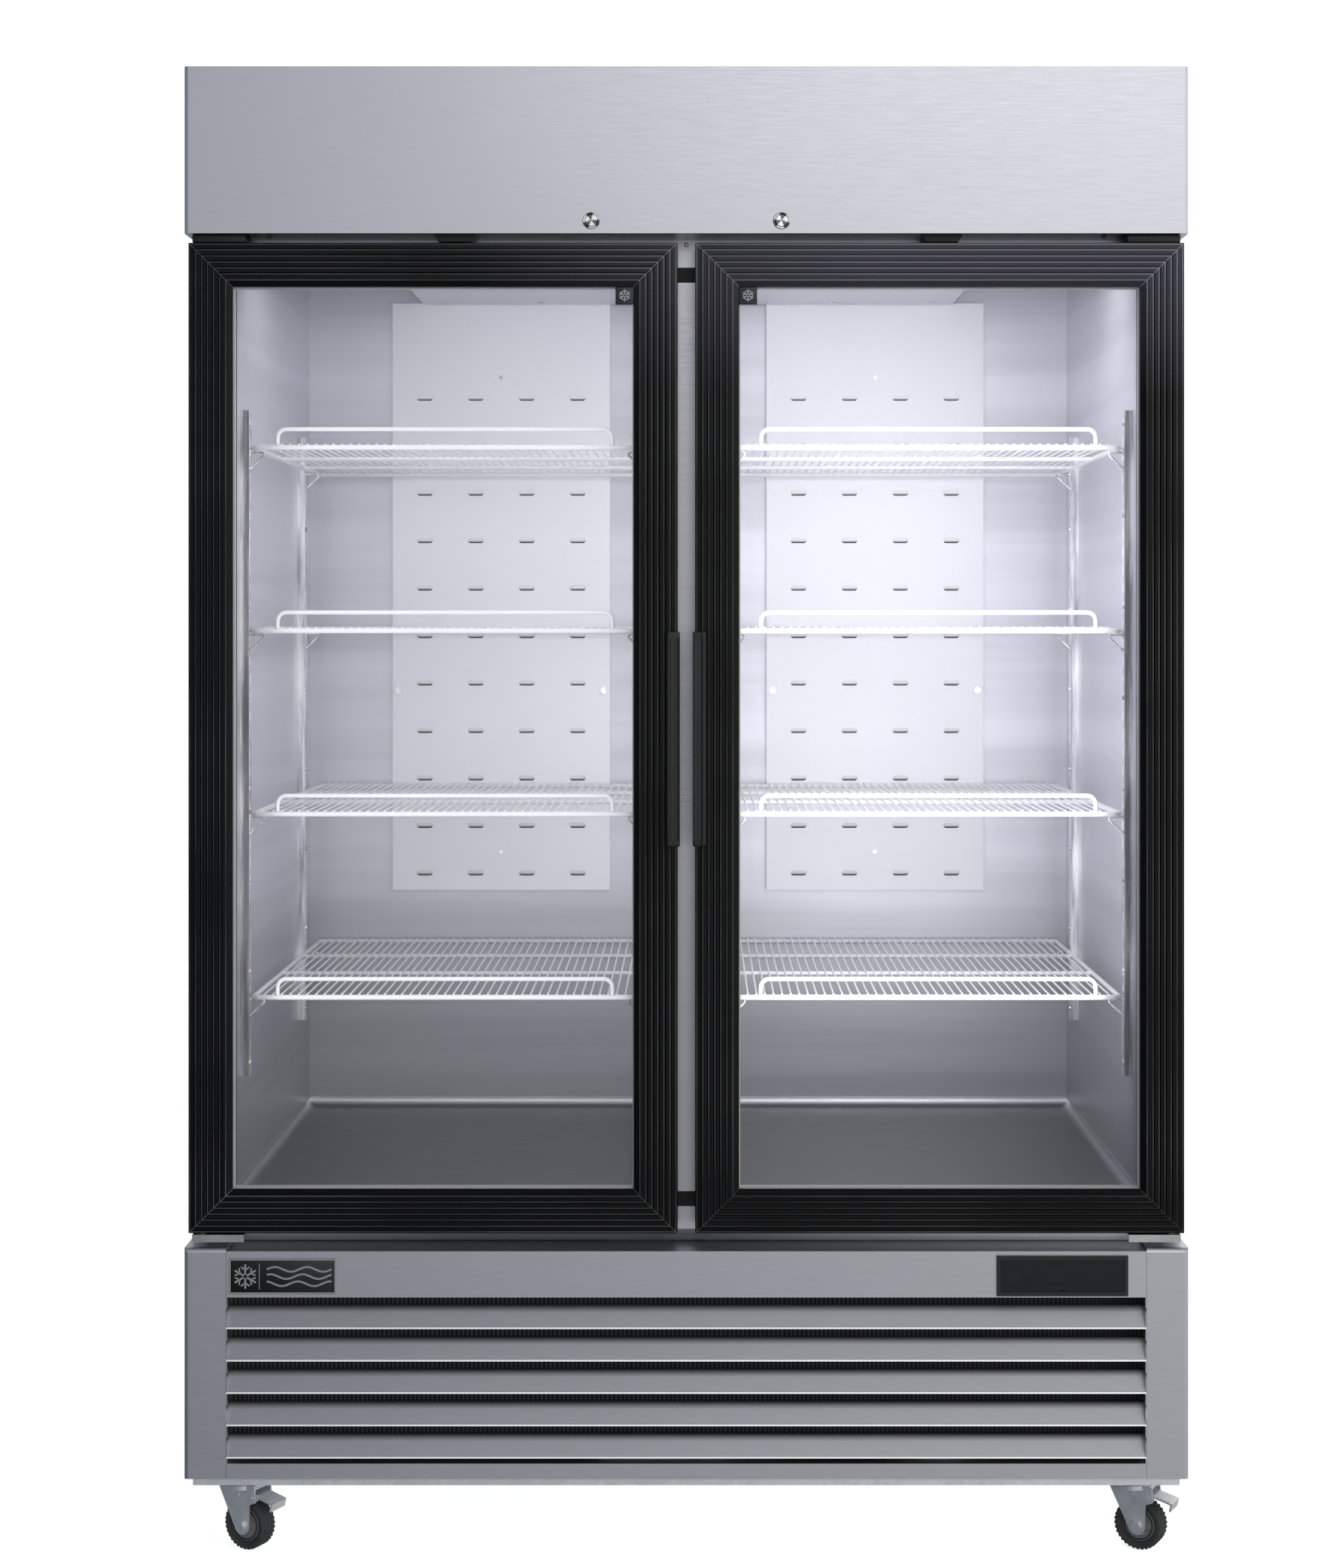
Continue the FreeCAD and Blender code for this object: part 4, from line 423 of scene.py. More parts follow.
materials = {
    "cabinet_steel": brushed_steel("cabinet_steel", CABINET, ALONG_X),
    "liner_steel": brushed_steel("liner_steel", LINER, DOWN_Z, rough=(0.34, 0.46), spread=0.04,
                                 metallic=0.6, over=shaded_wall(0.50, 0.98)),
    "galvanised_steel": galvanised("galvanised_steel", (0.60, 0.65, 0.70)),
    "foam": moulded("foam", (0.75, 0.66, 0.40), 0.9, pitch=300, relief=2e-4),
    "black_trim": moulded("black_trim", (0.006, 0.006, 0.007), 0.5),
    "standard_steel": drawn_channel("standard_steel", (0.62, 0.62, 0.66)),
    "shelf_wire": coated_wire("shelf_wire"),
    "duct_cover": painted_sheet("duct_cover", (0.92, 0.92, 0.96)),
    # dark fins, whose darkness also stands in for the shade seen through the louvres
    "coil_fins": plated("coil_fins", (0.10, 0.10, 0.11), 0.45),
    "fan_plastic": moulded("fan_plastic", (0.02, 0.02, 0.022), 0.45),
    "lamp_cover": painted_sheet("lamp_cover", (0.9, 0.9, 0.9)),
    "compressor_paint": moulded("compressor_paint", (0.008, 0.008, 0.009), 0.35),
    "lock_chrome": ringed_chrome("lock_chrome", (0.74, 0.75, 0.76), joints["lock_left_turn"]["pos_m"]),
    "bracket_steel": plated("bracket_steel", (0.56, 0.56, 0.57), 0.26),
    "door_trim": ribbed_trim("door_trim", (0.0022, 0.0022, 0.0032), *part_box("door_frame_right")),
    "door_glass": pane_glass("door_glass", (0.93, 0.945, 0.97), 0.03),
    "gasket_rubber": rubber("gasket_rubber", (0.012, 0.012, 0.013)),
    "handle_plastic": moulded("handle_plastic", (0.003, 0.003, 0.004), 0.30, relief=8e-6),
    "badge_plastic": moulded("badge_plastic", (0.005, 0.005, 0.006), 0.35, relief=6e-6),
    "control_plastic": moulded("control_plastic", (0.006, 0.008, 0.013), 0.34),
    "control_window": pane_glass("control_window", (0.012, 0.016, 0.026), 0.45),
    "rocker_plastic": moulded("rocker_plastic", (0.004, 0.09, 0.05), 0.25),
    "caster_zinc": plated("caster_zinc", (0.74, 0.76, 0.79), 0.32, metallic=0.55),
    "caster_tyre": rubber("caster_tyre", (0.055, 0.055, 0.057)),
}
finishes = {
    "spacer": painted_sheet("spacer_metal", (0.55, 0.55, 0.54), rough=0.4),
    "print": painted_sheet("pale_print", (0.50, 0.54, 0.60), rough=0.5),
    "faded_print": painted_sheet("faded_print", (0.045, 0.055, 0.07), rough=0.5),
    "badge_rim": painted_sheet("badge_grey", (0.33, 0.33, 0.33), rough=0.45),
    "display": painted_sheet("display_face", (0.020, 0.026, 0.036), rough=0.2),
    "hub": rubber("hub_grey", (0.24, 0.24, 0.245), rough=0.5),
    "pan": galvanised("pan_steel", (0.84, 0.88, 0.93)),
    "slot_flap": lanced_flap("slot_flap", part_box("air_ducts")[1][2]),
    "groove": rubber("groove_painted_shade", (0.006, 0.006, 0.006), rough=0.6),
}
floor_z, (grille_z, sill_z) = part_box("floor_pan")[0][2], (corner[2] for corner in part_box("louver_panel"))
finishes["floor"] = coved_floor("floor_sheet", (0.085, 0.088, 0.10), floor_z)
finishes["grille"] = louvred_steel("louver_steel", CABINET, grille_z)
finishes["sill"] = sill_steel("sill_steel", sill_z, sill_z + 17 * MM)

for node in nodes.values():
    for slot in node.material_slots:
        slot.material = materials[slot.material.name.split(".")[0]]
for name, finish in (("floor_pan", "floor"), ("base_pan", "pan"), ("louver_panel", "grille")):
    nodes[name].material_slots[0].material = finishes[finish]


# ---------------------------------------------------------------- mesh helpers

def outward_mesh(name, vertices, faces):
    """A mesh whose faces all look outwards."""
    mesh = bpy.data.meshes.new(name)
    mesh.from_pydata([tuple(vertex) for vertex in vertices], [], faces)
    work = bmesh.new()
    work.from_mesh(mesh)
    bmesh.ops.recalc_face_normals(work, faces=work.faces)
    work.to_mesh(mesh)
    work.free()
    return mesh


class Shell:
    """Collects the vertices and faces of one piece."""

    def __init__(self):
        self.vertices, self.faces = [], []

    def add(self, vertices, faces):
        start = len(self.vertices)
        self.vertices += vertices
        self.faces += [tuple(start + i for i in face) for face in faces]
        return self

    def piece(self, name, body, slot, replaced=(), finish=None, sharp=SHARP):
        """Makes the object, with smooth shading up to sharp degrees, and fixes it to a body of the frame."""
        mesh = outward_mesh(name, self.vertices, self.faces)
        mesh.polygons.foreach_set("use_smooth", [True] * len(mesh.polygons))
        mesh.set_sharp_from_angle(angle=math.radians(sharp))
        mesh.materials.append(finish or materials[slot])
        made = bpy.data.objects.new(name, mesh)
        scene.collection.objects.link(made)
        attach(made, body)
        if replaced:
            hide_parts(*replaced)
        return made


def rounded(corners, steps=4):
    """A closed outline from (x, y, radius) corners, each turned into an arc of that radius."""
    outline = []
    for i, (x, y, radius) in enumerate(corners):
        corner = Vector((x, y))
        before, after = Vector(corners[i - 1][:2]), Vector(corners[(i + 1) % len(corners)][:2])
        if radius == 0:
            outline.append(corner)
            continue
        into, out = (corner - before).normalized(), (after - corner).normalized()
        half_turn = into.angle(out) / 2
        reach = radius * math.tan(half_turn)
        first, last = corner - into * reach, corner + out * reach
        for k in range(steps + 1):
            t = k / steps
            outline.append(first * (1 - t) ** 2 + corner * (2 * t * (1 - t)) + last * t ** 2)
    return outline


def swept_frame(outline, low, high, front):
    """A mitred frame: an outline of (inward, back) points swept round a rectangle in X and Z."""
    count = len(outline)
    vertices = []
    for right, top in ((0, 0), (1, 0), (1, 1), (0, 1)):
        for inward, back in outline:
            x = high[0] - inward if right else low[0] + inward
            z = high[1] - inward if top else low[1] + inward
            vertices.append((x, front + back, z))
    faces = []
    for corner in range(4):
        for i in range(count):
            a, b = corner * count, (corner + 1) % 4 * count
            j = (i + 1) % count
            faces.append((a + i, a + j, b + j, b + i))
    return vertices, faces


def tube_faces(count, rings=2):
    """Faces of a tube of rings with count vertices each, closed at both ends."""
    last = (rings - 1) * count
    faces = [tuple(range(count)), tuple(range(last + count - 1, last - 1, -1))]
    for a in range(0, last, count):
        b = a + count
        faces += [(a + i, a + (i + 1) % count, b + (i + 1) % count, b + i) for i in range(count)]
    return faces


def prism(outline, axis, start, end):
    """An outline of two coordinates drawn along axis "X" or "Z", closed at both ends."""
    vertices = [(w, u, v) if axis == "X" else (u, v, w) for w in (start, end) for u, v in outline]
    return vertices, tube_faces(len(outline))


def block(low, high, radius, steps=2):
    """A box with rounded edges."""
    work = bmesh.new()
    size, middle = Vector(high) - Vector(low), (Vector(high) + Vector(low)) / 2
    bmesh.ops.create_cube(work, size=1, matrix=Matrix.Translation(middle) @ Matrix.Diagonal((*size, 1)))
    bmesh.ops.bevel(work, geom=work.edges[:], offset=radius, segments=steps, profile=0.5, affect="EDGES")
    vertices = [vertex.co.copy() for vertex in work.verts]
    faces = [tuple(vertex.index for vertex in face.verts) for face in work.faces]
    work.free()
    return vertices, faces


def lathe(outline, centre, axis, segments=64, closed=True):
    """An outline of (radius, offset along axis) points turned about the axis."""
    turn = Vector((0, 0, 1)).rotation_difference(Vector(axis)).to_matrix()
    count = len(outline)
    vertices = []
    for k in range(segments):
        a = 2 * math.pi * k / segments
        vertices += [turn @ Vector((r * math.cos(a), r * math.sin(a), w)) + Vector(centre)
                     for r, w in outline]
    faces = []
    for k in range(segments):
        a, b = k * count, (k + 1) % segments * count
        faces += [(a + i, a + (i + 1) % count, b + (i + 1) % count, b + i)
                  for i in range(count if closed else count - 1)]
    return vertices, faces


def carve(piece, *tools):
    """Cuts shells out of a piece and keeps the result as its mesh."""
    for vertices, faces in tools:
        tool = bpy.data.objects.new("tool", outward_mesh("tool", vertices, faces))
        scene.collection.objects.link(tool)
        cutter = piece.modifiers.new("carve", "BOOLEAN")
        cutter.operation, cutter.object, cutter.solver = "DIFFERENCE", tool, "EXACT"
        bpy.context.view_layer.update()
        result = bpy.data.meshes.new_from_object(piece.evaluated_get(bpy.context.evaluated_depsgraph_get()))
        piece.modifiers.clear()
        piece.data = result
        bpy.data.objects.remove(tool)
    piece.data.set_sharp_from_angle(angle=math.radians(SHARP))


def scaled(points):
    """Points given in millimetres, in metres."""
    return [tuple(value * MM for value in point) for point in points]


# ---------------------------------------------------------------- doors

def rail_outline():
    """Section of a door rail: a low outer step, five crowned ribs, a bevel and the rear lips."""
    corners = [(0, 3, 1.2), (STEP_WIDTH - 1, 3, 0.4), (STEP_WIDTH, 0.25, 0.5), (STEP_WIDTH + 3.6, 0, 0)]
    for k in range(1, 5):
        middle = STEP_WIDTH + k * RIB_PITCH
        corners += [(middle - 0.9, 0.3, 0.35), (middle, 1.4, 0), (middle + 0.9, 0.3, 0.35),
                    (middle + RIB_PITCH / 2, 0, 0)]
    corners += [(RAIL_WIDTH - 8, 0.3, 1.2), (RAIL_WIDTH, 7, 0.7), (RAIL_WIDTH, 9, 0), (46, 9, 0),
                (46, 31, 0), (RAIL_WIDTH, 31, 0.4), (RAIL_WIDTH, 34, 0.6), (44, 34, 0), (44, 50, 1),
                (0, 50, 1)]
    return scaled(rounded(corners, steps=3))


def make_door_frame(name):
    """The mitred moulding round a door, with the hinge bores and the pocket for the lock's bolt."""
    node = f"door_frame_{name}"
    low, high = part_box(node)
    shell = Shell().add(*swept_frame(rail_outline(), (low[0], low[2]), (high[0], high[2]), low[1]))
    made = shell.piece(f"door_trim_{name}", f"door_{name}", "door_trim", replaced=[node])
    hinge = joints[f"door_{name}_hinge"]["pos_m"]
    lock = joints[f"lock_{name}_turn"]["pos_m"]
    bore, depth = 4.1 * MM, 20 * MM
    bores = [lathe([(0, z - depth), (bore, z - depth), (bore, z + depth), (0, z + depth)],
                   (hinge[0], hinge[1], 0), (0, 0, 1), segments=24, closed=False)
             for z in (low[2], high[2])]
    reach, pocket_front, pocket_back = 38 * MM, -0.376, -0.370
    pocket = block((lock[0] - reach, pocket_front, high[2] - 14 * MM),
                   (lock[0] + reach, pocket_back, high[2] + 4 * MM), 0.2 * MM)
    carve(made, pocket, *bores)


def make_glass(name):
    """Two clear panes with ground edges, and the bright spacer between them."""
    node = f"glass_unit_{name}"
    low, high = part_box(node)
    pane = 4 * MM
    shell = Shell().add(*block(low, (high[0], low[1] + pane, high[2]), 0.4 * MM))
    shell.add(*block((low[0], high[1] - pane, low[2]), high, 0.4 * MM))
    shell.piece(f"door_panes_{name}", f"door_{name}", "door_glass", replaced=[node])
    inset = 5 * MM
    outline = scaled(rounded([(0, 0.4, 0), (9.4, 0.4, 0.5), (10, 3, 0), (10, 11, 0), (9.4, 13.6, 0.5),
                              (0, 13.6, 0)]))
    spacer = Shell().add(*swept_frame(outline, (low[0] + inset, low[2] + inset),
                                      (high[0] - inset, high[2] - inset), low[1] + pane))
    spacer.piece(f"glass_spacer_{name}", f"door_{name}", "bracket_steel", finish=finishes["spacer"])


def make_tag(name, sign):
    """A small dark sticker in the glass's upper corner, with a plain flake mark."""
    low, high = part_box(f"door_frame_{name}")
    size, face = 25 * MM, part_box(f"glass_unit_{name}")[0][1]
    inner = low[0] + RAIL_WIDTH * MM if sign > 0 else high[0] - RAIL_WIDTH * MM - size
    top = high[2] - (RAIL_WIDTH - 1) * MM
    outer, print_y = inner + size, face - 0.95 * MM
    tag = block((inner, face - 0.7 * MM, top - size), (outer, face - 0.1 * MM, top), 0.25 * MM)
    Shell().add(*tag).piece(f"corner_tag_{name}", f"door_{name}", "badge_plastic")
    mark = Shell()
    add_flake(mark, Vector(((inner + outer) / 2, print_y, top - size / 2)), 8.2 * MM, 0.3 * MM, 1.5 * MM)
    mark.piece(f"tag_mark_{name}", f"door_{name}", "badge_plastic", finish=finishes["print"])
    outline = scaled(rounded([(0, 0, 0.1), (1.2, 0, 0.1), (1.2, 0.3, 0), (0, 0.3, 0)], steps=2))
    edge = 2.2 * MM
    rim = swept_frame(outline, (inner + edge, top - size + edge), (outer - edge, top - edge), print_y)
    Shell().add(*rim).piece(
        f"tag_rim_{name}", f"door_{name}", "badge_plastic", finish=finishes["faded_print"])


def add_bar(shell, start, end, width, depth):
    """A flat raised bar between two points of a plane that faces -Y."""
    start, end = Vector(start), Vector(end)
    along = (end - start).normalized()
    across = Vector((-along.z, 0, along.x)) * (width / 2)
    front = [start - across, end - across, end + across, start + across]
    back = [corner + Vector((0, depth, 0)) for corner in front]
    shell.add(front + back, [(0, 1, 2, 3), (7, 6, 5, 4), (0, 4, 5, 1), (1, 5, 6, 2), (2, 6, 7, 3),
                             (3, 7, 4, 0)])


def add_flake(shell, middle, radius, depth, width):
    """Six arms with two barbs each."""
    for k in range(6):
        a = math.pi / 6 + k * math.pi / 3
        out = Vector((math.cos(a), 0, math.sin(a)))
        root = middle + out * width * 0.9
        add_bar(shell, root, middle + out * radius, width, depth)
        for side in (-1, 1):
            b = a + side * math.pi / 3.4
            barb = Vector((math.cos(b), 0, math.sin(b)))
            joint = middle + out * radius * 0.52 + barb * width * 0.5
            add_bar(shell, joint, joint + barb * radius * 0.36, width * 0.8, depth)


def make_handle(name, sign):
    """A channel pull with a proud outer edge and closed, rounded ends."""
    node = f"door_handle_{name}"
    low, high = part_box(node)
    wide, deep = 18.0, 13.0
    tip_x = low[0] if sign > 0 else high[0]

    def placed(corners):
        """An outline from corners (distance from the gap, distance behind the front), in millimetres."""
        return [(tip_x + sign * u * MM, low[1] + v * MM) for u, v in rounded(corners, steps=4)]

    plate = [(0.2, 0.7, 0.8), (11.6, 0.9, 0.4), (13.2, 0, 0.7), (wide, 0, 1.4), (wide, deep, 0.3)]
    trough = [(0.2, 0.7, 0.5), (2.0, 0.7, 0.4), (2.6, 2.2, 0.2), (12.6, 2.2, 0.3), (13.4, 0, 0.5)]
    grip = placed(trough + plate[3:] + [(1, deep, 0.3), (1, 11.5, 0.2), (15, 11.5, 1.0), (15, 3.2, 1.0),
                                        (0.2, 3.2, 1.2)])
    closed = placed(plate + [(0.8, deep, 0.5)])
    cap = 8 * MM
    shell = Shell().add(*prism(grip, "Z", low[2] + cap, high[2] - cap))
    for end, inner in ((low[2], low[2] + cap), (high[2], high[2] - cap)):
        add_cap(shell, closed, end, inner, 2.2 * MM)
    shell.piece(f"door_pull_{name}", f"door_{name}", "handle_plastic", replaced=[node])


def add_cap(shell, outline, end, inner, radius):
    """Closes an extrusion along Z with an end whose rim is rounded."""
    middle = sum((Vector(point) for point in outline), Vector((0, 0))) / len(outline)
    side = 1 if inner > end else -1
    rings = [(inner, 0.0)] + [(end + side * radius * (1 - math.sin(k * math.pi / 10)),
                               radius * (1 - math.cos(k * math.pi / 10))) for k in range(6)]
    vertices = []
    for z, inset in rings:
        for point in outline:
            ray = Vector(point) - middle
            shrunk = middle + ray * max(0.0, 1 - inset / ray.length)
            vertices.append((shrunk.x, shrunk.y, z))
    shell.add(vertices, tube_faces(len(outline), len(rings)))


# ---------------------------------------------------------------- front trim

def make_nameplate():
    """A black badge in a grey rim, with a flake, a dividing line and three waves."""
    low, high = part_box("nameplate")
    front, back = low[1], high[1]
    rim = scaled(rounded([(0, 0.6, 0.6), (0.9, 0, 0.4), (2.2, 0, 0.4), (2.8, 0.9, 0), (2.8, 2.5, 0),
                          (0, 2.5, 0)]))
    Shell().add(*swept_frame(rim, (low[0], low[2]), (high[0], high[2]), front)).piece(
        "badge_rim", "cabinet", "standard_steel", finish=finishes["badge_rim"])
    inset = 2.6 * MM
    field = block((low[0] + inset, front + 0.9 * MM, low[2] + inset),
                  (high[0] - inset, back, high[2] - inset), 0.2 * MM)
    Shell().add(*field).piece("badge_field", "cabinet", "badge_plastic", replaced=["nameplate"])
    width, height, y = high[0] - low[0], high[2] - low[2], front + 0.5 * MM
    middle_z = (low[2] + high[2]) / 2
    mark = Shell()
    add_flake(mark, Vector((low[0] + 0.155 * width, y, middle_z)), 0.34 * height, 0.6 * MM, 2.6 * MM)
    divider = low[0] + 0.285 * width
    add_bar(mark, (divider, y, low[2] + 0.14 * height), (divider, y, high[2] - 0.14 * height),
            1.0 * MM, 0.6 * MM)
    steps = 40
    for row, rise in enumerate((0.20, 0.0, -0.20)):
        points = []
        for k in range(steps + 1):
            t = k / steps
            x = divider + (0.07 + 0.60 * t) * width
            z = middle_z + (rise + 0.065 * math.sin(t * 4 * math.pi + row * 0.9)) * height
            points.append(Vector((x, y, z)))
        for start, end in zip(points, points[1:]):
            add_bar(mark, start, end, 2.6 * MM, 0.6 * MM)
    mark.piece("badge_mark", "cabinet", "standard_steel", finish=finishes["badge_rim"])


def make_lock_bezels():
    """Turned lock bezels with a hollow rim, on their barrels."""
    front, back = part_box("header_panel")[0][1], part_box("lock_housings")[1][1]
    bore = 7.45
    outline = scaled([(bore, 0.2), (bore, -0.6), (8.3, -0.4), (9.0, -1.1), (9.7, -1.9), (10.5, -1.9),
                      (11.3, -1.2), (11.7, 0), (9.4, 0), (9.4, (back - front) / MM),
                      (bore, (back - front) / MM)])
    shell = Shell()
    for name in SIDES:
        spot = joints[f"lock_{name}_turn"]["pos_m"]
        shell.add(*lathe(outline, (spot[0], front, spot[2]), (0, 1, 0), segments=64))
    shell.piece("lock_bezels", "cabinet", "lock_chrome", replaced=["lock_housings"])


def make_intake_filter():
    """A pleated black filter mat just behind the louvres, whose black also stands in for the shade in the
    gaps between them.
    """
    low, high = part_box("louver_panel")
    foot, top = low[2] + 24 * MM, high[2] - 66 * MM
    left, right = low[0] + 1.6 * MM, high[0] - 1.6 * MM
    front, fold = low[1] + 23 * MM, 2 * MM
    count = int((right - left) / (3 * MM))
    ridge = [(left + (right - left) * k / count, front + fold * (k % 2)) for k in range(count + 1)]
    outline = ridge + [(right, front + 2 * fold), (left, front + 2 * fold)]
    Shell().add(*prism(outline, "Z", foot, top)).piece("intake_filter", "cabinet", "black_trim", sharp=10)


def make_sill_rail():
    """Rolled steel sill along the cabinet's face just above the grille."""
    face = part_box("face_frame")[0][1]
    half, _, grille_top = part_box("louver_panel")[1]
    outline = scaled(rounded([(-5.6, 0, 1.4), (-0.2, 0, 0), (-0.2, 14, 0), (-5.6, 14, 1.4), (-4.0, 7, 1.2)]))
    section = [(face + y, grille_top + 1 * MM + z) for y, z in outline]
    Shell().add(*prism(section, "X", -half, half)).piece(
        "sill_rail", "cabinet", "cabinet_steel", finish=finishes["sill"])


def make_slot_flaps():
    """Lanced flaps sloping back inside the slots of the air ducts."""
    low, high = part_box("air_ducts")
    face, tall, straight, slope, sheet = low[1], 8.2, 17.4, 0.42, 0.6
    half_duct, column_pitch = 179 * MM, 84
    outline = [Vector((side * straight / 2 + tall / 2 * math.sin(a), tall / 2 * math.cos(a)))
               for side, start in ((1, 0), (-1, math.pi))
               for a in (start + math.pi * k / 8 for k in range(9))]
    shell = Shell()
    for middle in (low[0] + half_duct, high[0] - half_duct):
        for column in (-1.5, -0.5, 0.5, 1.5):
            for row in range(ROW_COUNT):
                x, z = middle + column * column_pitch * MM, high[2] - FIRST_ROW - row * ROW_PITCH
                front = [(x + u * MM, face + (0.2 + slope * (tall / 2 - v)) * MM, z + v * MM)
                         for u, v in outline]
                back = [(a, b + sheet * MM, c) for a, b, c in front]
                shell.add(front + back, tube_faces(len(outline)))
    shell.piece("slot_flaps", "cabinet", "duct_cover", finish=finishes["slot_flap"])


def make_top_gap():
    """Black hinge covers and pan screws in the gap above the doors; the covers' black also stands in for the
    shade at the gap's ends.
    """
    door_top, header_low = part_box("door_frame_left")[1][2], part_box("header_panel")[0][2]
    low_z, high_z = door_top + 0.6 * MM, header_low - 0.3 * MM
    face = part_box("face_frame")[0][1]
    cover_front, cover_back, screw_z, mullion_screw_z = -0.386, -0.346, 1.8118, 1.8128
    for name, sign in SIDES.items():
        left, right = sorted((sign * 0.603, sign * 0.6765))
        cover = block((left, cover_front, low_z), (right, cover_back, high_z), 1.6 * MM, steps=3)
        Shell().add(*cover).piece(f"hinge_cover_{name}", "cabinet", "black_trim")
        Shell().add(*pan_screw((sign * 0.580, face, screw_z), 4.3 * MM)).piece(
            f"gap_screw_{name}", "cabinet", "black_trim")
    Shell().add(*pan_screw((0, face, mullion_screw_z), 3.2 * MM)).piece(
        "mullion_screw", "cabinet", "bracket_steel")


def pan_screw(spot, radius):
    """A domed screw head on a face that looks towards -Y, with a socket in it."""
    dome = [(radius * math.cos(k * math.pi / 12), -radius * 0.55 * math.sin(k * math.pi / 12))
            for k in range(5)]
    rim, crown = dome[-1][0] * 0.8, dome[-1][1]
    socket, axis = -radius * 0.15, 0.0001
    outline = [(radius, 0)] + dome + [(rim, crown), (rim, socket), (axis, socket), (axis, 0)]
    return lathe(outline, spot, (0, 1, 0), segments=32)


def make_rear_screws():
    """Pan screws round the edge of the back panel."""
    low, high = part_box("back_panel")
    edge, gaps = 14 * MM, 6
    spots = [(side * (high[0] - edge), low[2] + edge + (high[2] - low[2] - 2 * edge) * k / gaps)
             for side in (-1, 1) for k in range(gaps + 1)]
    spots += [(high[0] * k / 3, z) for k in (-2, -1, 0, 1, 2) for z in (low[2] + edge, high[2] - edge)]
    head = scaled([(4.4, 0), (4.1, 1.0), (2.9, 1.6), (1.9, 1.7), (1.7, 0.7), (0.01, 0.7), (0.01, 0)])
    shell = Shell()
    for x, z in spots:
        shell.add(*lathe(head, (x, high[1], z), (0, 1, 0), segments=24))
    shell.piece("rear_screws", "cabinet", "galvanised_steel", finish=materials["bracket_steel"])


def make_controls():
    """Display, marks and indicator behind the thermostat's flip cover."""
    low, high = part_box("controller_cover")
    floor, rise = low[1] + 5.6 * MM, 0.5 * MM
    x0, z0 = (low[0] + high[0]) / 2, (low[2] + high[2]) / 2

    def plate(name, x, z, size, finish):
        """A thin plate of size round (x, z) from the cover's middle, in millimetres."""
        near = (x0 + (x - size[0] / 2) * MM, floor - rise, z0 + (z - size[1] / 2) * MM)
        far = (x0 + (x + size[0] / 2) * MM, floor, z0 + (z + size[1] / 2) * MM)
        Shell().add(*block(near, far, 0.15 * MM)).piece(
            name, "cabinet", "control_plastic", finish=finishes[finish])

    plate("display", -22, 0, (44, 19), "display")
    for k, (x, z) in enumerate([(8, 6), (11, 1), (8, -6), (14, -4)]):
        plate(f"control_mark_{k}", x, z, (1.6, 1.6), "faded_print")
    ring = scaled([(2.6, -0.4), (3.4, -0.5), (3.4, 0), (2.6, 0)])
    Shell().add(*lathe(ring, (x0 + 44 * MM, floor, z0), (0, 1, 0), segments=40)).piece(
        "control_ring", "cabinet", "control_plastic", finish=finishes["display"])


# ---------------------------------------------------------------- casters

def make_wheel(corner):
    """A lugged dark tyre on a grey moulded hub with raised facets."""
    node, body = f"caster_wheel_{corner}", f"wheel_{corner}"
    joint = joints[f"wheel_{corner}_spin"]
    centre, axis = Vector(joint["pos_m"]), Vector(joint["axis"]).normalized()
    radius, half, hub = 35.0, 14.0, 23.2
    tyre = []
    for side in (1, -1):
        wall = [(hub, 9.5), (24.4, 12.4), (26.4, 13.2), (27.0, 12.6), (28.6, 13.6), (31.6, half - 0.6),
                (33.2, 11.6), (33.9, 8.6)]
        tyre += [(r, side * w) for r, w in (wall if side > 0 else reversed(wall))]
    shell = Shell().add(*lathe(scaled(tyre), centre, axis, segments=96))
    turn = Vector((0, 0, 1)).rotation_difference(axis).to_matrix()
    lugs = 34
    for k in range(lugs):
        for row, (start, end) in enumerate(((-11.4, -4.6), (-3.2, 3.2), (4.6, 11.4))):
            a = 2 * math.pi * (k + 0.5 * (row % 2)) / lugs
            add_lug(shell, turn, centre, a, 2 * math.pi / lugs * 0.62, (start, end), (33.2, radius - 0.15))
    shell.piece(f"tyre_{corner}", body, "caster_tyre", replaced=[node])
    disc = Shell()
    dish = [(5.2, 16.0), (8.6, 16.0), (9.4, 15.0), (9.8, 9.2), (18.4, 8.4), (19.2, 10.6), (20.4, 11.6),
            (22.4, 11.4), (23.3, 9.8), (23.3, 0)]
    outline = dish + [(r, -w) for r, w in reversed(dish[:-1])]
    disc.add(*lathe(scaled(outline), centre, axis, segments=72))
    for k in range(8):
        for side in (-1, 1):
            add_facet(disc, turn, centre, 2 * math.pi * k / 8, side)
    disc.piece(f"hub_{corner}", body, "caster_tyre", finish=finishes["hub"], sharp=25)
    # a black ring of painted shade in the hub's groove
    ring = Shell()
    groove = [(19.6, 10.9), (20.0, 12.0), (21.4, 11.9), (21.6, 10.8)]
    for side in (-1, 1):
        ring.add(*lathe(scaled([(r, side * w) for r, w in groove]), centre, axis, segments=72))
    ring.piece(f"hub_ring_{corner}", body, "caster_tyre", finish=finishes["groove"])


def polar(turn, centre, radius, angle, offset):
    """A point round a wheel's axis, from a radius and an offset along the axis in millimetres."""
    return turn @ Vector((radius * math.cos(angle), radius * math.sin(angle), offset)) * MM + centre


def add_lug(shell, turn, centre, middle, spread, across, heights):
    """One tread block, a little narrower at its top."""
    start, end = across
    low, high = heights
    foot = [(middle - spread / 2, start), (middle + spread / 2, start), (middle + spread / 2, end),
            (middle - spread / 2, end)]
    head = [(middle + (a - middle) * 0.75, w * 0.97) for a, w in foot]
    vertices = [polar(turn, centre, low, a, w) for a, w in foot]
    vertices += [polar(turn, centre, high, a, w) for a, w in head]
    shell.add(vertices, [(0, 3, 2, 1), (4, 5, 6, 7), (0, 1, 5, 4), (1, 2, 6, 5), (2, 3, 7, 6), (3, 0, 4, 7)])


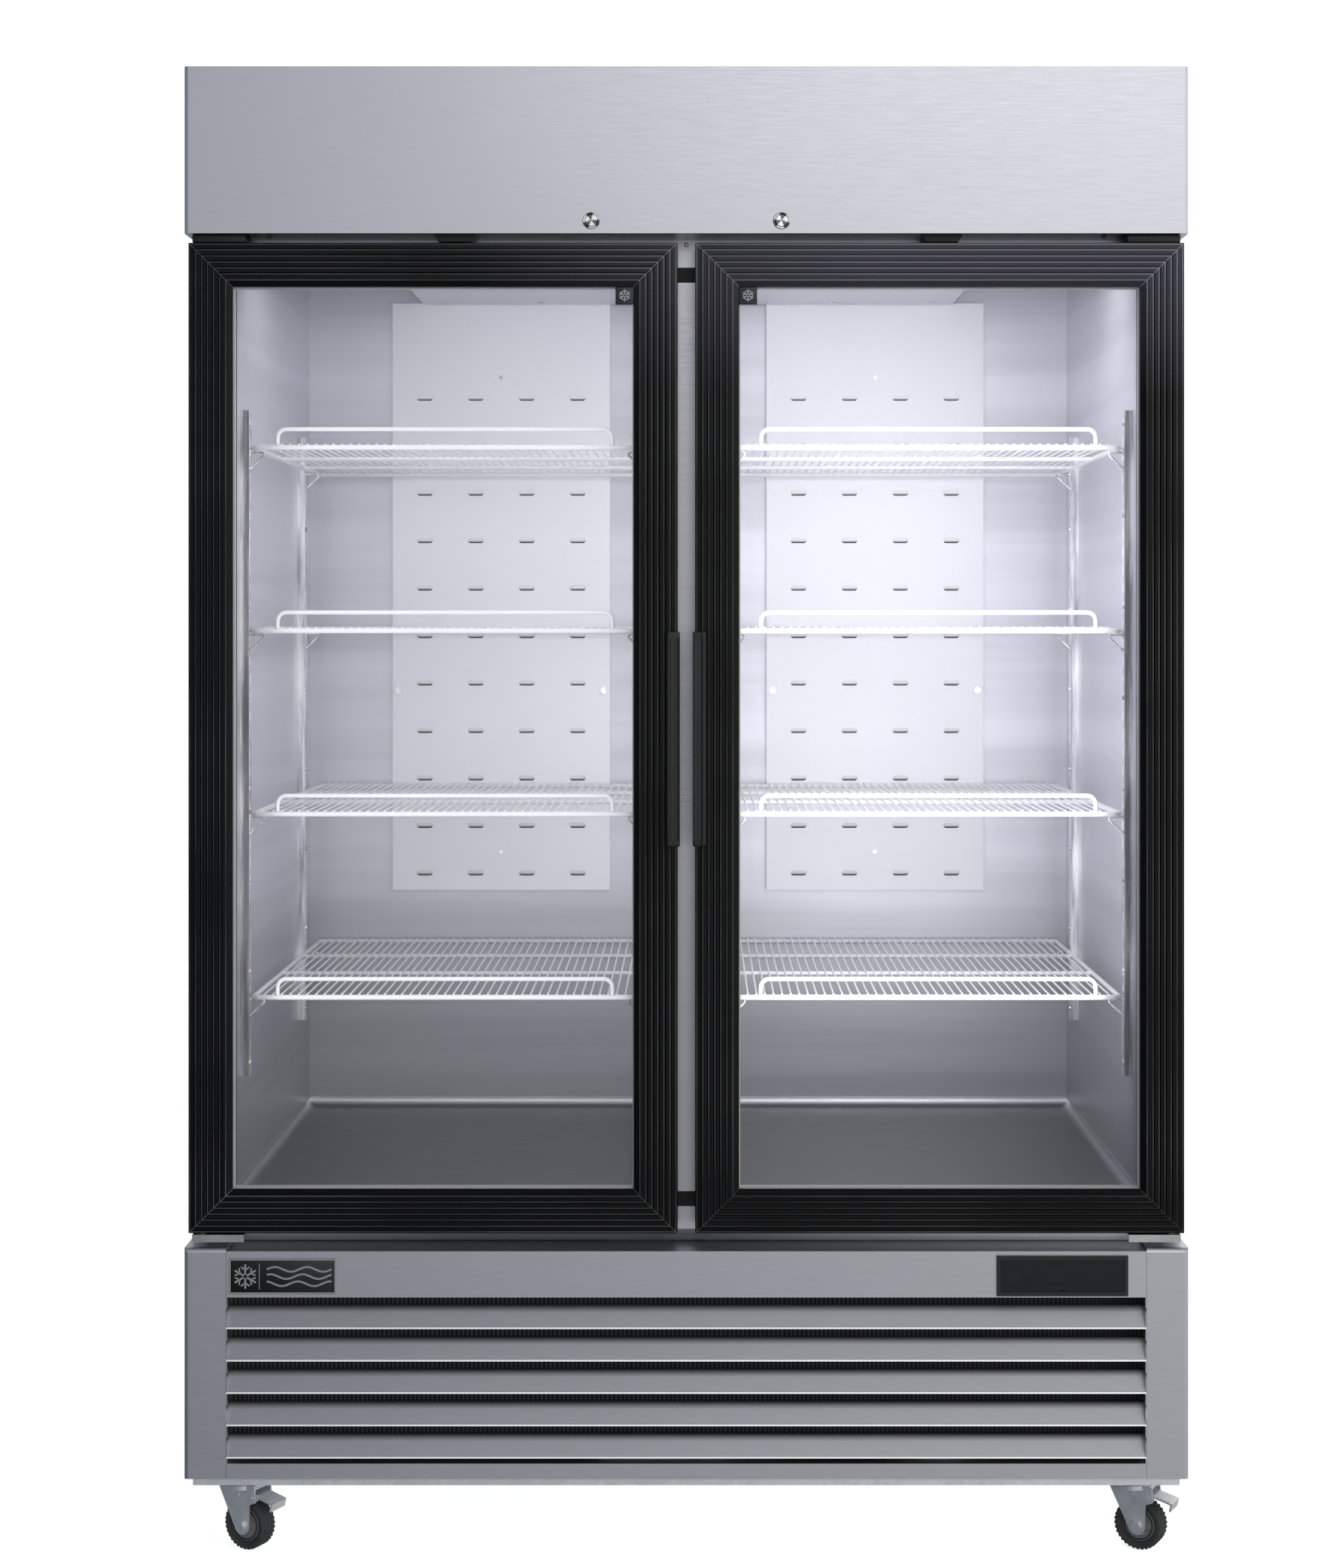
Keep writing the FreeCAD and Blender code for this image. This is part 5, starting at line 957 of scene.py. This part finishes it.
def add_facet(shell, turn, centre, angle, side):
    """A low pyramid on the hub's disc."""
    rim = [(10.6, -0.20), (17.4, -0.24), (17.4, 0.24), (10.6, 0.20)]
    vertices = [polar(turn, centre, r, angle + a, side * 8.2) for r, a in rim]
    vertices.append(polar(turn, centre, 15.2, angle, side * 10.4))
    shell.add(vertices, [(0, 1, 2, 3), (0, 4, 1), (1, 4, 2), (2, 4, 3), (3, 4, 0)])


for side_name, side_sign in SIDES.items():
    make_door_frame(side_name)
    make_glass(side_name)
    make_tag(side_name, side_sign)
    make_handle(side_name, side_sign)
make_nameplate()
make_lock_bezels()
make_intake_filter()
make_sill_rail()
make_slot_flaps()
make_top_gap()
make_rear_screws()
make_controls()
for corner_name in CORNERS:
    make_wheel(corner_name)


# ---------------------------------------------------------------- light, floor and camera

def area_light(name, spot, towards, size, watts, colour=(1, 1, 1)):
    """A rectangular light at spot that shines towards a point."""
    data = bpy.data.lights.new(name, "AREA")
    data.shape = "RECTANGLE"
    data.size, data.size_y = size
    data.energy = watts
    data.color = colour
    lamp = bpy.data.objects.new(name, data)
    lamp.location = spot
    scene.collection.objects.link(lamp)
    lamp.rotation_euler = (Vector(towards) - lamp.location).to_track_quat("-Z", "Y").to_euler()


def make_world():
    """A white studio to the eye, whose light falls off to the left, below and high above."""
    world = bpy.data.worlds.new("studio")
    world.use_nodes = True
    scene.world = world
    tree = world.node_tree
    background = tree.nodes["Background"]
    background.inputs["Strength"].default_value = 1.2
    split = tree.nodes.new("ShaderNodeSeparateXYZ")
    tree.links.new(tree.nodes.new("ShaderNodeTexCoord").outputs["Generated"], split.inputs[0])

    def graded(axis, stops):
        """Radiance along one axis of the sky, from (direction, radiance) stops."""
        share = tree.nodes.new("ShaderNodeMapRange")
        share.inputs["From Min"].default_value = -1.0
        tree.links.new(split.outputs[axis], share.inputs["Value"])
        made = tree.nodes.new("ShaderNodeValToRGB")
        made.color_ramp.interpolation = "EASE"
        elements = made.color_ramp.elements
        while len(elements) < len(stops):
            elements.new(0.5)
        for element, (direction, radiance) in zip(elements, stops):
            element.position = (direction + 1) / 2
            element.color = (*radiance, 1)
        tree.links.new(share.outputs["Result"], made.inputs["Fac"])
        return made.outputs["Color"]

    product = tree.nodes.new("ShaderNodeVectorMath")
    product.operation = "MULTIPLY"
    white, dim_left, dim_below, dim_above = (1.0,) * 3, (0.24, 0.275, 0.31), (0.37,) * 3, (0.42,) * 3
    across = graded("X", [(-0.40, dim_left), (0.17, white)])
    upwards = graded("Z", [(-0.40, dim_below), (0.16, white), (0.34, white), (0.70, dim_above)])
    tree.links.new(across, product.inputs[0])
    tree.links.new(upwards, product.inputs[1])
    tint = tree.nodes.new("ShaderNodeMix")
    tint.data_type = "RGBA"
    tree.links.new(tree.nodes.new("ShaderNodeLightPath").outputs["Is Camera Ray"], tint.inputs[0])
    tree.links.new(product.outputs[0], tint.inputs[6])
    tint.inputs[7].default_value = (1, 1, 1, 1)
    tree.links.new(tint.outputs[2], background.inputs["Color"])


def make_floor():
    """A white floor that stays white to the eye and throws no light on the cabinet."""
    mesh = bpy.data.meshes.new("studio_floor")
    reach = 14.0
    corners = [(-reach, -reach, 0), (reach, -reach, 0), (reach, reach, 0), (-reach, reach, 0)]
    mesh.from_pydata(corners, [], [(0, 1, 2, 3)])
    floor = bpy.data.objects.new("studio_floor", mesh)
    scene.collection.objects.link(floor)
    paint = painted_sheet("studio_paint", (0.93, 0.93, 0.93), rough=0.85, spread=0.005)
    glow = paint.node_tree.nodes["Principled BSDF"].inputs
    glow["Emission Color"].default_value = (1, 1, 1, 1)
    glow["Emission Strength"].default_value = 0.78
    mesh.materials.append(paint)
    floor.visible_glossy = False
    floor.visible_diffuse = False


def make_camera():
    """A level camera before the doors, shifted to the photo's framing."""
    data = bpy.data.cameras.new("camera")
    data.lens, data.sensor_width = 59.7, 36.0
    data.shift_x, data.shift_y = -0.0211, -0.0995
    camera = bpy.data.objects.new("camera", data)
    camera.location = (0.014, -3.946, 1.280)
    camera.rotation_euler = (math.radians(90), 0, 0)
    scene.collection.objects.link(camera)
    scene.camera = camera


make_world()
make_floor()
make_camera()
area_light("key_card", spot=(1.3, -5.6, 3.6), towards=(0.2, 0, 1.6), size=(3.4, 1.6), watts=15)
inner_watts = {"left": (0.9, 1.2), "right": (1.7, 3.6)}
for side_name, side_sign in SIDES.items():
    x, (above, before) = side_sign * 0.33, inner_watts[side_name]
    area_light(f"top_light_{side_name}", spot=(x, -0.18, 1.80), towards=(x, 0.05, 0.5), size=(0.5, 0.18),
               watts=above, colour=(0.97, 0.98, 1.0))
    area_light(f"fill_light_{side_name}", spot=(x, -0.34, 1.14), towards=(x, 0.35, 1.16), size=(0.5, 0.95),
               watts=before, colour=(0.96, 0.96, 1.0))
scene.view_settings.view_transform = "Standard"
